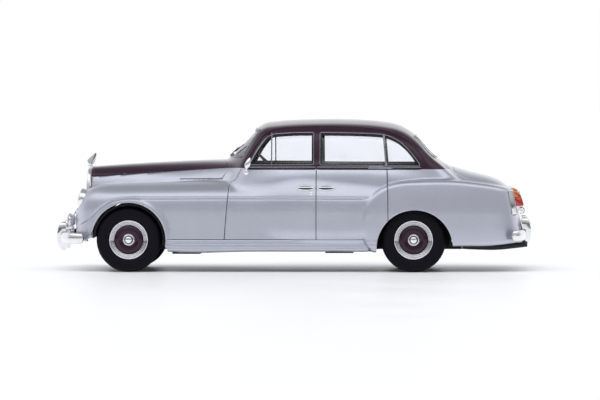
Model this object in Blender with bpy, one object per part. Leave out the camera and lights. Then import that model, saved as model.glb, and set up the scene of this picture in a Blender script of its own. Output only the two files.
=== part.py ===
"""A 1:43 collector's model of a four-door luxury saloon of the 1950s, as its separate pieces.

Blender units are metres, +Z is up. The car faces -X, its left side is -Y, and the origin is on the
ground under the middle of the car. Shapes are worked out in millimetres and scaled as meshes are made.
"""

import math

import bmesh
import bpy
import numpy as np

MM = 0.001

# Driving dimensions, in millimetres.
WHEELBASE = 75.0
FRONT_AXLE_X = -43.2
REAR_AXLE_X = FRONT_AXLE_X + WHEELBASE
WHEEL_R = 8.5
TYRE_W = 4.7
WHEEL_FACE_Y = 19.9
RIM_R = 5.12
AXLE_R = 0.75
BEARING_R = 0.90
SILL_Z = 5.2
BELT_Z = 27.0
WALL = 1.6
HOUSING_WALL = 0.55
GAP = 0.06
CENTRE_Z = 11.0
NOSE_X, TAIL_X = -58.3, 59.9
TAIL_LEAN = 0.2
FRONT_ARCH = (FRONT_AXLE_X, 8.5, 9.8)
REAR_ARCH = (32.1, 6.4, 10.0)
FLOOR_Z = 9.2
PLATE_Z = (5.9, 7.0)
PAD_Z = 4.65
BUMPER_TOP, BUMPER_BOTTOM = 10.3, 7.5
BUMPER_Z = (BUMPER_TOP + BUMPER_BOTTOM) / 2
REAR_BUMPER_RISE = 0.8
REAR_FLOOR_Z = (7.6, 8.7)
OVERRIDER_Y = 8.6
OVERRIDER_TIP_X = 62.8
IRON_Y = 6.0
HANDLE_Z = 22.2
EXHAUST_Y = -10.5
EXHAUST_BORE_R = 0.5
TAIL_LAMP_Y = 15.8
SCREWS = ((-20.5, PLATE_Z[0]), (47.5, REAR_FLOOR_Z[0]))
SCREW_HEAD = 0.9
BOSS_Z = 11.6
STEER_HUB = (-6.5, 8.2, 27.2)
MIRROR_FOOT = (-12.0, 26.0)
HEADLAMP = (-54.2, 14.2, 18.8)
HEADLAMP_TILT = 9
SIDES = {"left": -1, "right": 1}


# ---------------------------------------------------------------- curves and body surface (mm)

def curve(*knots):
    """A function for a smooth curve through (place, value) knots, level beyond its ends."""
    place, value = np.array(knots, float).T
    slope = np.gradient(value, place)
    last = len(place) - 2

    def height(at):
        at = np.clip(at, place[0], place[-1])
        i = np.clip(np.searchsorted(place, at) - 1, 0, last)
        span = place[i + 1] - place[i]
        t = (at - place[i]) / span
        rest = 1 - t
        level = (1 + 2 * t) * rest * rest * value[i] + t * t * (3 - 2 * t) * value[i + 1]
        return level + span * t * rest * (rest * slope[i] - t * slope[i + 1])

    return height


def step(t):
    """0 below 0, 1 above 1, and smooth between."""
    t = np.clip(t, 0, 1)
    return t * t * (3 - 2 * t)


def merge(a, b, reach):
    """The union of two signed fields, filleted over reach."""
    h = np.maximum(reach - np.abs(a - b), 0) / reach
    return np.minimum(a, b) - h * h * reach / 4


def overlap(a, b, reach):
    """The intersection of two signed fields, rounded over reach."""
    return -merge(-a, -b, reach)


def bulge(terms, power, size):
    """Signed field of a superellipsoid: negative inside, about a distance near the surface."""
    total = sum(np.abs(term) ** power for term in terms)
    return (total ** (1 / power) - 1) * size


bottom_edge = curve((-57, 8.0), (-53, 7.6), (-40, 6.0), (-33, SILL_Z), (-10, SILL_Z), (10, SILL_Z),
                    (20, SILL_Z), (30, 6.2), (43, 6.9), (52, 7.0), (61, 8.0))
# The height of the feature line, which dives over the front wheel arch and runs level to the rear wing.
crease_height = curve((-58.5, 11.0), (-57, 11.7), (-54.2, 13.3), (-51, 15.3), (-47.9, 17.6), (-43.2, 19.2),
                      (-36, 19.45), (20, 19.45))
wing_half_width = curve((-57, 20.0), (-50, 20.6), (-43, 21.0), (-20, 21.0), (0, 20.9), (16, 20.6), (40, 20.2),
                        (55, 18.9), (61, 17.6))
wing_crown = curve((-57, 23.0), (-52, 23.8), (-44, 24.2), (-34, 24.4), (-18, 24.6), (0, 23.6), (14, 22.2),
                   (30, 22.6), (44, 22.6), (58, 21.2))
wing_valley = curve((-54, 1.6), (-40, 1.2), (-20, 0.6), (-5, 0), (30, 0), (58, 0))
rear_wing_half_width = curve((16, 22.05), (34, 22.15), (46, 21.4), (55, 19.7), (61, 17.8))
rear_wing_crown = curve((30, 24.1), (36, 24.3), (42, 24.25), (50, 23.4), (58, 21.9))
centre_half_width = curve((-54, 8.3), (-45, 10.2), (-35, 12.2), (-25, 14.2), (-17, 17.1), (-8, 19.2),
                          (0, 19.8), (25, 19.8), (35, 18.5), (45, 16.0), (55, 13.6), (61, 12))
centre_top = curve((-54, 27.5), (-43, 28.3), (-30, 29.0), (-20, 29.4), (-8, 29.4), (30, 29.3), (36, 29.0),
                   (41, 27.9), (46.7, 26.3), (53, 24.6), (56.5, 23.0), (61, 20.0))
centre_power = curve((-54, 3.8), (-40, 3.4), (-20, 3.4), (-6, 6), (30, 6), (42, 3.4), (61, 3))
fillet_reach = curve((-54, 0.7), (-18, 0.7), (-8, 1.2), (3, 3.5), (16, 4.0), (28, 2.0), (61, 2.0))
roof_crown = curve((-14, 38.4), (-8, 39.2), (-2, 39.8), (6, 40.1), (14, 40.1), (24, 39.4), (32, 37.8))
rear_screen_x = curve((24, 45.0), (28, 40.4), (30.5, 37.3), (34, 34.0), (37.4, 30.8), (41, 27.4))


def groove(distance, width, depth):
    """A rounded groove, as an outward offset."""
    return -depth * np.exp(-(distance / width) ** 2)


def side_relief(x, z):
    """How far the flank stands out at (x, z): arch lip, feature line and sill steps."""
    line = groove(z - crease_height(x), 0.27, 0.36) * step((20.5 - x) / 3) * step((x + 58.5) / 3)
    from_arch = np.hypot(x - FRONT_ARCH[0], z - FRONT_ARCH[1]) - FRONT_ARCH[2]
    lip = 0.22 * step((1.25 - from_arch) / 0.5) * step((x + 57) / 4)
    under_doors = step((x + 33.5) / 1) * step((23.5 - x) / 2)
    sill = 0.14 * step((8.5 - z) / 0.3) + 0.1 * step((7.45 - z) / 0.25) - 0.3 * step((6.5 - z) / 0.3)
    return line + lip + sill * under_doors


def wings(x, y, z):
    """The wide lower volume: front wings, doors and sills, closed by a rounded nose and tail."""
    half_width = wing_half_width(x)
    crown = wing_crown(x) - wing_valley(x) * step((16 - np.abs(y)) / 5)
    bottom = bottom_edge(x)
    middle = 14.0
    below = np.maximum(middle - z, 0) / (middle - bottom)
    rise = np.where(z > middle, (z - middle) / (crown - middle), below ** 12)
    nose = NOSE_X + 4.1 * (1 - step((np.abs(y) - 7.6) / 6.4))
    forward = np.maximum(-44 - x, 0) / (-44 - nose)
    tail = TAIL_X - TAIL_LEAN * (z - 11)
    backward = np.maximum(x - 43, 0) / (tail - 43)
    return bulge((y / half_width, rise, forward, backward), 4, 12)


def rear_wings(x, y, z):
    """The rear wings, which stand proud of the doors behind a curved front edge."""
    tuck = 0.012 * np.maximum(z - 15, 0) ** 2 + 0.01 * np.maximum(12 - z, 0) ** 2
    half_width = rear_wing_half_width(x) - tuck
    tail = TAIL_X - TAIL_LEAN * (z - 11)
    backward = np.maximum(x - 43, 0) / (tail - 43)
    side = bulge((y / half_width, backward), 8, 20)
    side = overlap(side, bottom_edge(x) - z, 1.2)
    ahead = np.maximum(32 - x, 0) / 14
    above = np.maximum(z - 12.5, 0) / 11.6
    corner = ((ahead ** 2.3 + above ** 2.3) ** (1 / 2.3) - 1) * 13
    low_edge = 18.0 + 1.85 * (np.maximum(12.5 - z, 0) / 6.3) ** 2 - x
    crown = z - rear_wing_crown(x)
    edge = np.where(x > 32, np.where(z > 12.5, crown, -9), np.where(z > 12.5, corner, low_edge))
    return overlap(side, edge, 1.4)


def centre_body(x, y, z):
    """The narrower, taller volume along the middle: bonnet, scuttle, door tops and boot."""
    half_width, top, power = centre_half_width(x), centre_top(x), centre_power(x)
    rise = np.where(z > 14, (z - 14) / (top - 14), (14 - z) / 5)
    total = (np.abs(y) / half_width) ** power + rise ** power
    body = (total ** (1 / power) - 1) * 12
    front_edge = -53.9 - x
    tail_edge = x - (TAIL_X + 0.2 - TAIL_LEAN * (z - 11))
    return overlap(overlap(body, front_edge, 0.5), tail_edge, 4)


def lower_body(x, y, z):
    """Everything below the cabin: wings, doors, bonnet and boot."""
    flank = step((np.abs(y) - 15) / 3) * step((23.5 - z) / 2)
    y = np.abs(y) - side_relief(x, z) * flank
    reach = fillet_reach(x)
    lower = merge(wings(x, y, z), centre_body(x, y, z), reach)
    return merge(lower, rear_wings(x, y, z), 0.35)


def greenhouse(x, y, z):
    """The cabin above the belt: sides, roof, windscreen and rear screen surfaces."""
    up = z - BELT_Z
    side = np.abs(y) - (18.2 - 0.17 * up - 0.006 * up * np.abs(up))
    roof = z - (roof_crown(x) - 0.008 * y * y)
    bow = np.maximum(4.5 - 0.3 * (z - 28.75), 0) * (y / 16) ** 2
    screen = (-18.3 + 0.925 * (z - 28.8) + bow - x) * 0.73
    back = (x - (rear_screen_x(z) - 1.2 * (y / 16) ** 2)) * 0.72
    shell = overlap(side, roof, 3.4)
    shell = overlap(shell, screen, 1.6)
    return overlap(overlap(shell, back, 2.4), 20 - z, 1)


def body_field(x, y, z):
    """Signed field of the whole outer body, in millimetres."""
    return merge(lower_body(x, y, z), greenhouse(x, y, z), 0.7)


def on_body(start, heading, lift=0.0, furthest=75.0):
    """Points where rays from inside meet the body surface, moved lift further along each ray."""
    start, heading = np.broadcast_arrays(np.array(start, float), np.array(heading, float))
    near = np.zeros(start.shape[:-1])
    far = np.full(start.shape[:-1], furthest)
    for _ in range(40):
        half = (near + far) / 2
        inside = body_field(*np.moveaxis(start + heading * half[..., None], -1, 0)) < 0
        near, far = np.where(inside, half, near), np.where(inside, far, half)
    return start + heading * (near + lift)[..., None]


def side_point(x, z, side=-1, lift=0.0):
    """The point on the body's side at (x, z)."""
    x, z = np.broadcast_arrays(x, z)
    return on_body(np.stack([x, 0 * x, z], -1), (0, side, 0), lift, 30)


def end_point(y, z, heading, lift=0.0):
    """The point on the front (-1) or rear (+1) of the cabin at (y, z)."""
    y, z = np.broadcast_arrays(y, z)
    return on_body(np.stack([0 * y + 10, y, z], -1), (heading, 0, 0), lift, 60)


# ---------------------------------------------------------------- meshes and objects

MATERIALS = {
    "silver_paint": ((0.62, 0.64, 0.69), 0.28, 0.6),
    "maroon_paint": ((0.09, 0.025, 0.05), 0.25, 0.2),
    "chrome": ((0.88, 0.89, 0.91), 0.08, 1.0),
    "steel": ((0.6, 0.6, 0.62), 0.3, 1.0),
    "rubber": ((0.02, 0.02, 0.025), 0.7, 0.0),
    "black_plastic": ((0.03, 0.03, 0.035), 0.5, 0.0),
    "clear": ((0.9, 0.95, 1.0), 0.03, 0.0),
    "red_lens": ((0.6, 0.03, 0.02), 0.1, 0.0),
    "trim_leather": ((0.45, 0.33, 0.24), 0.55, 0.0),
    "wood": ((0.25, 0.12, 0.05), 0.35, 0.0),
}


def clear_scene():
    for obj in list(bpy.data.objects):
        bpy.data.objects.remove(obj, do_unlink=True)


def material(name):
    found = bpy.data.materials.get(name)
    if found:
        return found
    colour, roughness, metallic = MATERIALS[name]
    made = bpy.data.materials.new(name)
    made.use_nodes = True
    shader = made.node_tree.nodes["Principled BSDF"]
    shader.inputs["Base Color"].default_value = (*colour, 1)
    shader.inputs["Roughness"].default_value = roughness
    shader.inputs["Metallic"].default_value = metallic
    return made


def place(name, bm, finish, at=(0, 0, 0), parent=None):
    """Turns bm, in millimetres about the point at, into a named object with its origin there."""
    bmesh.ops.recalc_face_normals(bm, faces=bm.faces)
    bmesh.ops.scale(bm, vec=(MM, MM, MM), verts=bm.verts)
    mesh = bpy.data.meshes.new(name)
    bm.to_mesh(mesh)
    bm.free()
    mesh.shade_smooth()
    mesh.set_sharp_from_angle(angle=math.radians(35))
    mesh.materials.append(material(finish))
    obj = bpy.data.objects.new(name, mesh)
    bpy.context.scene.collection.objects.link(obj)
    obj.location = [v * MM for v in at]
    obj.parent = parent
    return obj


def as_helper(obj):
    obj.hide_render = True
    obj.display_type = "WIRE"
    return obj


def combine(obj, other, operation):
    """Cuts other from obj, or joins it on, with a Boolean that stays on obj."""
    as_helper(other)
    modifier = obj.modifiers.new(other.name, "BOOLEAN")
    modifier.operation = operation
    modifier.object = other
    modifier.solver = "EXACT"
    return obj


def cut(obj, *others):
    """Cuts helpers from obj: several at once are one Boolean, which keeps the new edges exact."""
    if len(others) == 1:
        return combine(obj, others[0], "DIFFERENCE")
    group = bpy.data.collections.new(obj.name + "_cutters")
    bpy.context.scene.collection.children.link(group)
    for other in others:
        bpy.context.scene.collection.objects.unlink(as_helper(other))
        group.objects.link(other)
    modifier = obj.modifiers.new(group.name, "BOOLEAN")
    modifier.operation = "DIFFERENCE"
    modifier.operand_type = "COLLECTION"
    modifier.collection = group
    modifier.solver = "EXACT"
    return obj


def join(obj, *others):
    for other in others:
        combine(obj, other, "UNION")


def quads(bm, rows, wrap_rows=False, wrap_columns=False):
    """Fills a grid of vertices, given as rows, with faces."""
    row_count, column_count = len(rows), len(rows[0])
    for i in range(row_count if wrap_rows else row_count - 1):
        for j in range(column_count if wrap_columns else column_count - 1):
            a, b = rows[i], rows[(i + 1) % row_count]
            k = (j + 1) % column_count
            bm.faces.new((a[j], a[k], b[k], b[j]))


def strip(loops, closed=False):
    """A solid through a row of closed loops, each an array of points: capped, or closed into a ring."""
    bm = bmesh.new()
    rows = [[bm.verts.new(point) for point in loop] for loop in loops]
    quads(bm, rows, wrap_rows=closed, wrap_columns=True)
    if not closed:
        bm.faces.new(rows[0])
        bm.faces.new(rows[-1])
    return bm


def box(size, at=(0, 0, 0), bevel=0.0, segments=1):
    bm = bmesh.new()
    bmesh.ops.create_cube(bm, size=1)
    bmesh.ops.scale(bm, vec=size, verts=bm.verts)
    bmesh.ops.translate(bm, vec=at, verts=bm.verts)
    if bevel:
        bmesh.ops.bevel(bm, geom=bm.edges[:], offset=bevel, segments=segments, affect="EDGES", profile=0.5)
    return bm


def turned(profile, steps):
    """A solid turned about the Y axis from a closed (radius, y) profile."""
    bm = bmesh.new()
    points = [bm.verts.new((radius, y, 0)) for radius, y in profile]
    edges = [bm.edges.new((a, b)) for a, b in zip(points, points[1:] + points[:1])]
    bmesh.ops.spin(bm, geom=points + edges, cent=(0, 0, 0), axis=(0, 1, 0), angle=math.tau, steps=steps,
                   use_merge=True)
    bmesh.ops.remove_doubles(bm, verts=bm.verts, dist=1e-4)
    flat = [face for face in bm.faces if face.calc_area() < 1e-7]
    bmesh.ops.delete(bm, geom=flat, context="FACES")
    bmesh.ops.delete(bm, geom=[edge for edge in bm.edges if not edge.link_faces], context="EDGES")
    return bm


def prism(outline, low, high):
    """A solid whose (x, z) outline runs straight across from y = low to y = high."""
    return strip([[(x, y, z) for x, z in outline] for y in (low, high)])


def upright(outline, low, high):
    """A solid whose (x, y) outline runs straight up from z = low to z = high."""
    return strip([[(x, y, z) for x, y in outline] for z in (low, high)])


def lengthwise(outline, low, high):
    """A solid whose (y, z) outline runs along the car from x = low to x = high."""
    return strip([[(x, y, z) for y, z in outline] for x in (low, high)])


def arc(centre, radius, start, end, steps):
    """Points of an arc, angles in degrees, first axis at 0 and second axis at 90."""
    return [(centre[0] + radius * math.cos(math.radians(start + (end - start) * i / steps)),
             centre[1] + radius * math.sin(math.radians(start + (end - start) * i / steps)))
            for i in range(steps + 1)]


def rounded(corners, steps=3):
    """A closed outline from (u, v, radius) corners, each rounded by a quadratic curve."""
    points = []
    count = len(corners)
    for i, (u, v, radius) in enumerate(corners):
        here = np.array((u, v), float)
        if not radius:
            points.append(tuple(here))
            continue
        ends = []
        for other in (corners[i - 1], corners[(i + 1) % count]):
            away = np.array(other[:2], float) - here
            ends.append(here + away * min(radius / np.linalg.norm(away), 0.5))
        for j in range(steps + 1):
            t = j / steps
            points.append(tuple((1 - t) ** 2 * ends[0] + 2 * t * (1 - t) * here + t * t * ends[1]))
    return points


def grown(outline, by):
    """A closed outline moved outwards by a distance, or inwards if it is negative."""
    points = np.array(outline, float)
    along = np.roll(points, -1, 0) - np.roll(points, 1, 0)
    out = np.stack([along[:, 1], -along[:, 0]], 1) / np.linalg.norm(along, axis=1)[:, None]
    turn = np.sum(points[:, 0] * np.roll(points[:, 1], -1) - np.roll(points[:, 0], -1) * points[:, 1])
    return points + out * by * np.sign(turn)


def divided(outline, spacing):
    """A closed outline with points added so that none are further apart than spacing."""
    points = np.array(outline, float)
    result = []
    for here, there in zip(points, np.roll(points, -1, 0)):
        pieces = max(1, math.ceil(np.linalg.norm(there - here) / spacing))
        result += [here + (there - here) * i / pieces for i in range(pieces)]
    return np.array(result)


# ---------------------------------------------------------------- body shell

ROW_ZONES = ((-30.0, -18.3, 4), (-18.3, -6.0, 6), (-6.0, 16.5, 5), (16.5, 24.0, 5), (24.0, 44.0, 7))
FAN_RINGS = {"nose": 10, "tail": 8}
COLUMN_ZONES = ((-90, -20, 4), (-20, -4, 4), (-4, 20, 4), (20, 44, 6), (44, 90, 7))


def zoned(zones, fineness):
    """Places through (start, end, count) zones, with count of them in each, times fineness."""
    places = [np.linspace(start, end, max(1, round(count * fineness)), endpoint=False)
              for start, end, count in zones]
    return np.concatenate(places + [[zones[-1][1]]])


def hull_points(shrink, fineness):
    """Half of the body surface as a grid: rows from nose to tail, columns from keel to roof."""
    theta = np.radians(zoned(COLUMN_ZONES, fineness))
    rows = []
    for lean in np.radians(np.linspace(88, 0, round(FAN_RINGS["nose"] * fineness), endpoint=False)):
        rows.append((ROW_ZONES[0][0], -math.sin(lean), math.cos(lean)))
    rows += [(x, 0.0, 1.0) for x in zoned(ROW_ZONES, fineness)]
    for lean in np.radians(np.linspace(0, 88, round(FAN_RINGS["tail"] * fineness) + 1)[1:]):
        rows.append((ROW_ZONES[-1][1], math.sin(lean), math.cos(lean)))
    root, ahead, out = np.array(rows).T
    start = np.stack([root, 0 * root, 0 * root + CENTRE_Z], -1)[:, None, :]
    heading = np.stack([ahead[:, None] + 0 * theta, -out[:, None] * np.cos(theta),
                        out[:, None] * np.sin(theta)], -1)
    return on_body(start, heading, -shrink)


def hull(shrink=0.0, fineness=1.0):
    """The closed body volume, its surface moved inwards by shrink."""
    points = hull_points(shrink, fineness)
    points[:, (0, -1), 1] = 0
    other_half = points[:, -2:0:-1] * (1, -1, 1)
    bm = bmesh.new()
    rows = [[bm.verts.new(point) for point in row] for row in np.concatenate([points, other_half], 1)]
    quads(bm, rows, wrap_columns=True)
    for end in (rows[0], rows[-1]):
        bm.faces.new(end)
    return bm


def mirrored(half):
    """A closed plan outline from its +Y half."""
    return half + [(x, -y) for x, y in reversed(half)]


def arch_outline(arch, start, end, feet):
    """A wheel opening seen from the side: an arc, closed by feet below the body."""
    return arc(arch[:2], arch[2], start, end, 14) + feet


FRONT_ARCH_OUTLINE = arch_outline(FRONT_ARCH, -10, 165, [(-54.6, 7.6), (-55.4, -8), (-32.9, -8), (-32.9, 6)])
REAR_ARCH_OUTLINE = arch_outline(REAR_ARCH, 5, 180, [(22.0, 5.6), (21.9, -8), (42.1, -8)])
FRONT_WINDOW = rounded([(-11.4, 28.3, 0.5), (-9.0, 32.6, 1.5), (-6.3, 36.1, 2.0), (0, 36.6, 3),
                        (5.4, 36.6, 0.4), (5.4, 28.3, 0.4)])
REAR_WINDOW = rounded([(7.2, 28.2, 0.4), (7.2, 36.6, 0.4), (17.0, 36.5, 4), (24.4, 36.1, 2), (27.8, 34.6, 2),
                       (30.6, 32.0, 2), (32.4, 29.6, 1.5), (33.6, 28.0, 0.8)], 2)
BELLY = [(-54.6, 10.5), (-52.8, 19.0), (42.3, 19.0), (46.0, 16.3), (53.0, 15.0), (57.2, 11.4)]
SIDE_GLAZING = rounded([(-10.9, 28.3, 0.5), (-8.6, 32.4, 1.5), (-6.1, 35.8, 2.0), (0, 36.0, 3),
                        (17.0, 35.9, 4), (24.2, 35.5, 2), (27.4, 34.1, 2), (30.1, 31.6, 2),
                        (32.9, 28.3, 0.8)], 2)
WINDSCREEN = rounded([(-14.9, 30.9, 1.6), (-13.4, 37.3, 2.2), (13.4, 37.3, 2.2), (14.9, 30.9, 1.6)], 4)
REAR_SCREEN = rounded([(-12.2, 30.1, 1.8), (-10.6, 35.6, 2.6), (10.6, 35.6, 2.6), (12.2, 30.1, 1.8)], 4)


def make_body():
    shell = place("body_shell", hull(), "silver_paint")
    cavity = place("cavity", hull(WALL, 0.67), "steel")
    cutters = [cavity, place("belly_cutter", upright(mirrored(BELLY), -3, BOSS_Z), "steel")]
    for i, (x, _) in enumerate(SCREWS):
        cut(cavity, place(f"screw_post_{i}", upright(arc((x, 0), 2.0, 0, 337.5, 15), 0, 40), "steel"))
        cutters.append(place(f"screw_hole_{i}", upright(arc((x, 0), 0.95, 0, 330, 11), 0, 16.5), "steel"))
    for name, outline in (("front_arch", FRONT_ARCH_OUTLINE), ("rear_arch", REAR_ARCH_OUTLINE),
                          ("front_window", FRONT_WINDOW), ("rear_window_hole", REAR_WINDOW)):
        for side, s in SIDES.items():
            ends = sorted((s * 10.0, s * 26.0))
            cutters.append(place(f"{name}_cutter_{side}", prism(outline, *ends), "steel"))
    cutters.append(place("screen_cutter", lengthwise(WINDSCREEN, -26, -5), "steel"))
    cutters.append(place("rear_screen_cutter", lengthwise(REAR_SCREEN, 29, 46), "steel"))
    return shell, cutters


# ---------------------------------------------------------------- chassis, axles and wheels

def make_base_plate():
    front = [(-50.4, 10.0), (-49.0, 12.6), (-34, 12.6), (-31, 18.8), (20, 18.8), (23, 12.4), (44.5, 12.4)]
    rear = [(43, 12), (45.8, 15.9), (52.5, 14.7), (56.9, 10.8)]
    plate = place("base_plate", upright(mirrored(front), *PLATE_Z), "black_plastic")
    join(plate, place("rear_floor", upright(mirrored(rear), *REAR_FLOOR_Z), "steel"))
    join(plate, place("rear_floor_step", box((1.5, 24.0, 2.2), (43.75, 0, 7.3)), "steel"))
    for name, x, width in (("front_pad", -28.2, 30.0), ("rear_pad", 12.0, 16.0)):
        pad = box((7.4, width, PLATE_Z[0] + 0.1 - PAD_Z), (x, 0, (PLATE_Z[0] + 0.1 + PAD_Z) / 2))
        join(plate, place(name, pad, "steel"))
    housings = (("front", FRONT_AXLE_X, 9.55, 176), ("rear", REAR_AXLE_X, 10.1, 189))
    for axle, x, arch_r, foremost in housings:
        inner_r = arch_r - HOUSING_WALL
        for side, s in SIDES.items():
            tag = f"{axle}_{side}"
            cup = prism(arc((x, WHEEL_R), arch_r, -9, foremost, 12), *sorted((s * 11.2, s * 18.9)))
            hollow = prism(arc((x, WHEEL_R), inner_r, -18, 198, 12) + [(x - inner_r, -3), (x + inner_r, -3)],
                           *sorted((s * 12.0, s * 22)))
            housing = place(f"housing_{tag}", cup, "steel")
            cut(housing, place(f"housing_hollow_{tag}", hollow, "steel"))
            join(plate, housing)
        join(plate, place(f"bearing_{axle}", box((4.4, 23.2, 4.4), (x, 0, 8.4)), "steel"))
        bearing = turned([(0, -30), (BEARING_R, -30), (BEARING_R, 30), (0, 30)], 16)
        cut(plate, place(f"bearing_bore_{axle}", bearing, "steel", (x, 0, WHEEL_R)))
    for i, (x, seat) in enumerate(SCREWS):
        boss = upright(arc((x, 0), 2.0, 0, 337.5, 15), seat + 0.5, BOSS_Z - GAP)
        join(plate, place(f"plate_boss_{i}", boss, "steel"))
        cut(plate, place(f"plate_hole_{i}", upright(arc((x, 0), 1.1, 0, 330, 11), 3, 12), "steel"))


def make_screws():
    for name, (x, seat) in zip(("base_screw_front", "base_screw_rear"), SCREWS):
        under_head = SCREW_HEAD - GAP
        profile = [(0, 0), (1.5, 0), (1.7, 0.25), (1.7, under_head), (0.8, under_head), (0.8, 7.8),
                   (0.4, 8.6), (0, 8.6)]
        at = (x, 0, seat - SCREW_HEAD)
        screw = place(name, turned(profile, 12), "steel", at)
        screw.rotation_euler.x = math.pi / 2
        cut(screw, place(name + "_slot", box((3.6, 0.4, 0.8)), "steel", at))


def tyre_profile(face):
    """Half the section of a tyre, mirrored about its middle, from the outer face inwards."""
    half = [(4.95, 0.75), (5.7, 0.28), (6.9, 0.0), (8.05, 0.4), (WHEEL_R, 1.5)]
    return [(r, face - d) for r, d in half] + [(r, face - TYRE_W + d) for r, d in reversed(half)]


def make_wheel(tag, axle_x, side):
    hub = bpy.data.objects.new(f"wheel_{tag}", None)
    bpy.context.scene.collection.objects.link(hub)
    hub.location = (axle_x * MM, 0, WHEEL_R * MM)
    if side > 0:
        hub.rotation_euler.z = math.pi
    face = -WHEEL_FACE_Y
    tyre = [(r, -y) for r, y in tyre_profile(WHEEL_FACE_Y)]
    place(f"tyre_{tag}", turned(tyre, 24), "rubber", parent=hub)
    rim = [(4.89, face + 4.0), (4.89, face + 0.72), (RIM_R, face + 0.44), (4.85, face + 0.2),
           (4.2, face + 1.0), (3.9, face + 1.5), (0.82, face + 1.5), (0.82, face + 3.6), (1.7, face + 3.6),
           (1.7, face + 2.4), (4.3, face + 2.4)]
    place(f"rim_{tag}", turned(rim, 20), "chrome", parent=hub)
    cover = [(0, face + 1.44), (3.75, face + 1.44), (3.6, face + 1.1), (2.6, face + 0.8), (1.95, face + 0.75),
             (1.8, face + 0.3), (1.1, face + 0.15), (1.0, face - 0.45), (0.6, face - 0.6), (0, face - 0.65)]
    place(f"wheel_cover_{tag}", turned(cover, 16), "maroon_paint", parent=hub)


def make_running_gear():
    for axle, x in (("front", FRONT_AXLE_X), ("rear", REAR_AXLE_X)):
        half = WHEEL_FACE_Y - 1.55
        profile = [(0, -half), (AXLE_R - 0.15, -half), (AXLE_R, -half + 0.3), (AXLE_R, half - 0.3),
                   (AXLE_R - 0.15, half), (0, half)]
        place(f"{axle}_axle", turned(profile, 12), "steel", (x, 0, WHEEL_R))
        for side, s in SIDES.items():
            make_wheel(f"{axle}_{side}", x, s)


def make_exhaust():
    """The tail pipe behind the rear axle, which dips under the tail and rises to its open end."""
    def pipe_through(path):
        return strip([[(x, EXHAUST_Y + a, z + b) for a, b in arc((0, 0), radius, 0, 330, 11)]
                      for x, z, radius in path])

    path = [(44.85, 6.6, 0.72), (46, 6.58, 0.78), (50, 6.42, 0.8), (54, 6.38, 0.8), (58, 6.75, 0.74),
            (61.8, 7.2, 0.72)]
    pipe = place("exhaust", pipe_through(path), "black_plastic")
    bore = pipe_through([(59, 6.87, EXHAUST_BORE_R), (63, 7.34, EXHAUST_BORE_R)])
    cut(pipe, place("exhaust_bore", bore, "steel"))


# ---------------------------------------------------------------- interior

def make_interior():
    tub = place("interior_tub", box((35.6, 34.0, 11.3), (2.0, 0, FLOOR_Z + 5.65)), "trim_leather")
    cut(tub, place("tub_hollow", box((34.4, 32.4, 14), (2.0, 0, FLOOR_Z + 7.9)), "steel"))
    join(tub, place("bulkhead", box((0.7, 26.0, 6.6), (-15.3, 0, 22.9)), "steel"))
    front = rounded([(-0.3, 10.2, 0.6), (-0.3, 15.6, 1.0), (6.8, 14.8, 0.3), (9.0, 26.4, 1.0),
                     (11.0, 26.2, 1.0), (9.0, 10.2, 0.6)], 2)
    place("front_seat", prism(front, -15.2, 15.2), "trim_leather")
    rear = rounded([(22.0, 18.6, 0.6), (22.0, 21.0, 1.0), (29.6, 20.2, 0.3), (32.0, 27.4, 1.0),
                    (34.0, 27.2, 1.0), (33.6, 18.6, 0.6)], 2)
    place("rear_seat", prism(rear, -14.0, 14.0), "trim_leather")
    dash = rounded([(-14.85, 22.6, 0.3), (-14.85, 26.9, 1.0), (-11.6, 26.6, 1.2), (-12.0, 22.6, 0.6)], 2)
    place("dashboard", prism(dash, -13.4, 13.4), "wood")
    make_steering_wheel()


def make_steering_wheel():
    """Rim, two spokes, boss and column as one moulding, raked 45 degrees."""
    ring_r, wire_r = 4.7, 0.28
    bm = bmesh.new()
    rows = []
    for turn in np.linspace(0, math.tau, 24, endpoint=False):
        rows.append([bm.verts.new((r * math.cos(turn), r * math.sin(turn), height))
                     for r, height in arc((ring_r, 0), wire_r, 0, 300, 5)])
    quads(bm, rows, wrap_rows=True, wrap_columns=True)
    wheel = place("steering_wheel", bm, "black_plastic", STEER_HUB)
    parts = [("spokes", box((0.5, 2 * ring_r, 0.3))), ("boss", box((1.6, 1.6, 0.9), bevel=0.3)),
             ("column", box((0.6, 0.6, 6.4), (0, 0, -3.1)))]
    for name, mesh in parts:
        helper = place("steering_" + name, mesh, "steel", STEER_HUB)
        helper.rotation_euler.y = math.radians(45)
        join(wheel, helper)
    wheel.rotation_euler.y = math.radians(45)


# ---------------------------------------------------------------- glazing and bright trim

def band(points_of, outline, inner, outer, low, high):
    """A flat ring laid on the body round an outline. points_of maps (u, v, lift) to body points."""
    outline = divided(outline, 3.0)
    inside, outside = grown(outline, inner).T, grown(outline, outer).T
    rows = (points_of(*inside, low), points_of(*outside, low), points_of(*outside, high),
            points_of(*inside, high))
    bm = bmesh.new()
    loops = [[bm.verts.new(point) for point in row] for row in rows]
    quads(bm, loops, wrap_rows=True, wrap_columns=True)
    return bm


def pane(points_of, outline, low, high):
    """A sheet of glazing that fills an outline, with a face at each of two depths."""
    outline = grown(divided(outline, 3.5), -GAP)
    bm = bmesh.new()
    rims = [[bm.verts.new(point) for point in points_of(*outline.T, lift)] for lift in (low, high)]
    quads(bm, rims, wrap_columns=True)
    for rim, lift in zip(rims, (low, high)):
        centre = points_of(*outline.mean(0)[:, None], lift)[0]
        hub = bm.verts.new(centre)
        for a, b in zip(rim, rim[1:] + rim[:1]):
            bm.faces.new((a, b, hub))
    return bm


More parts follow.
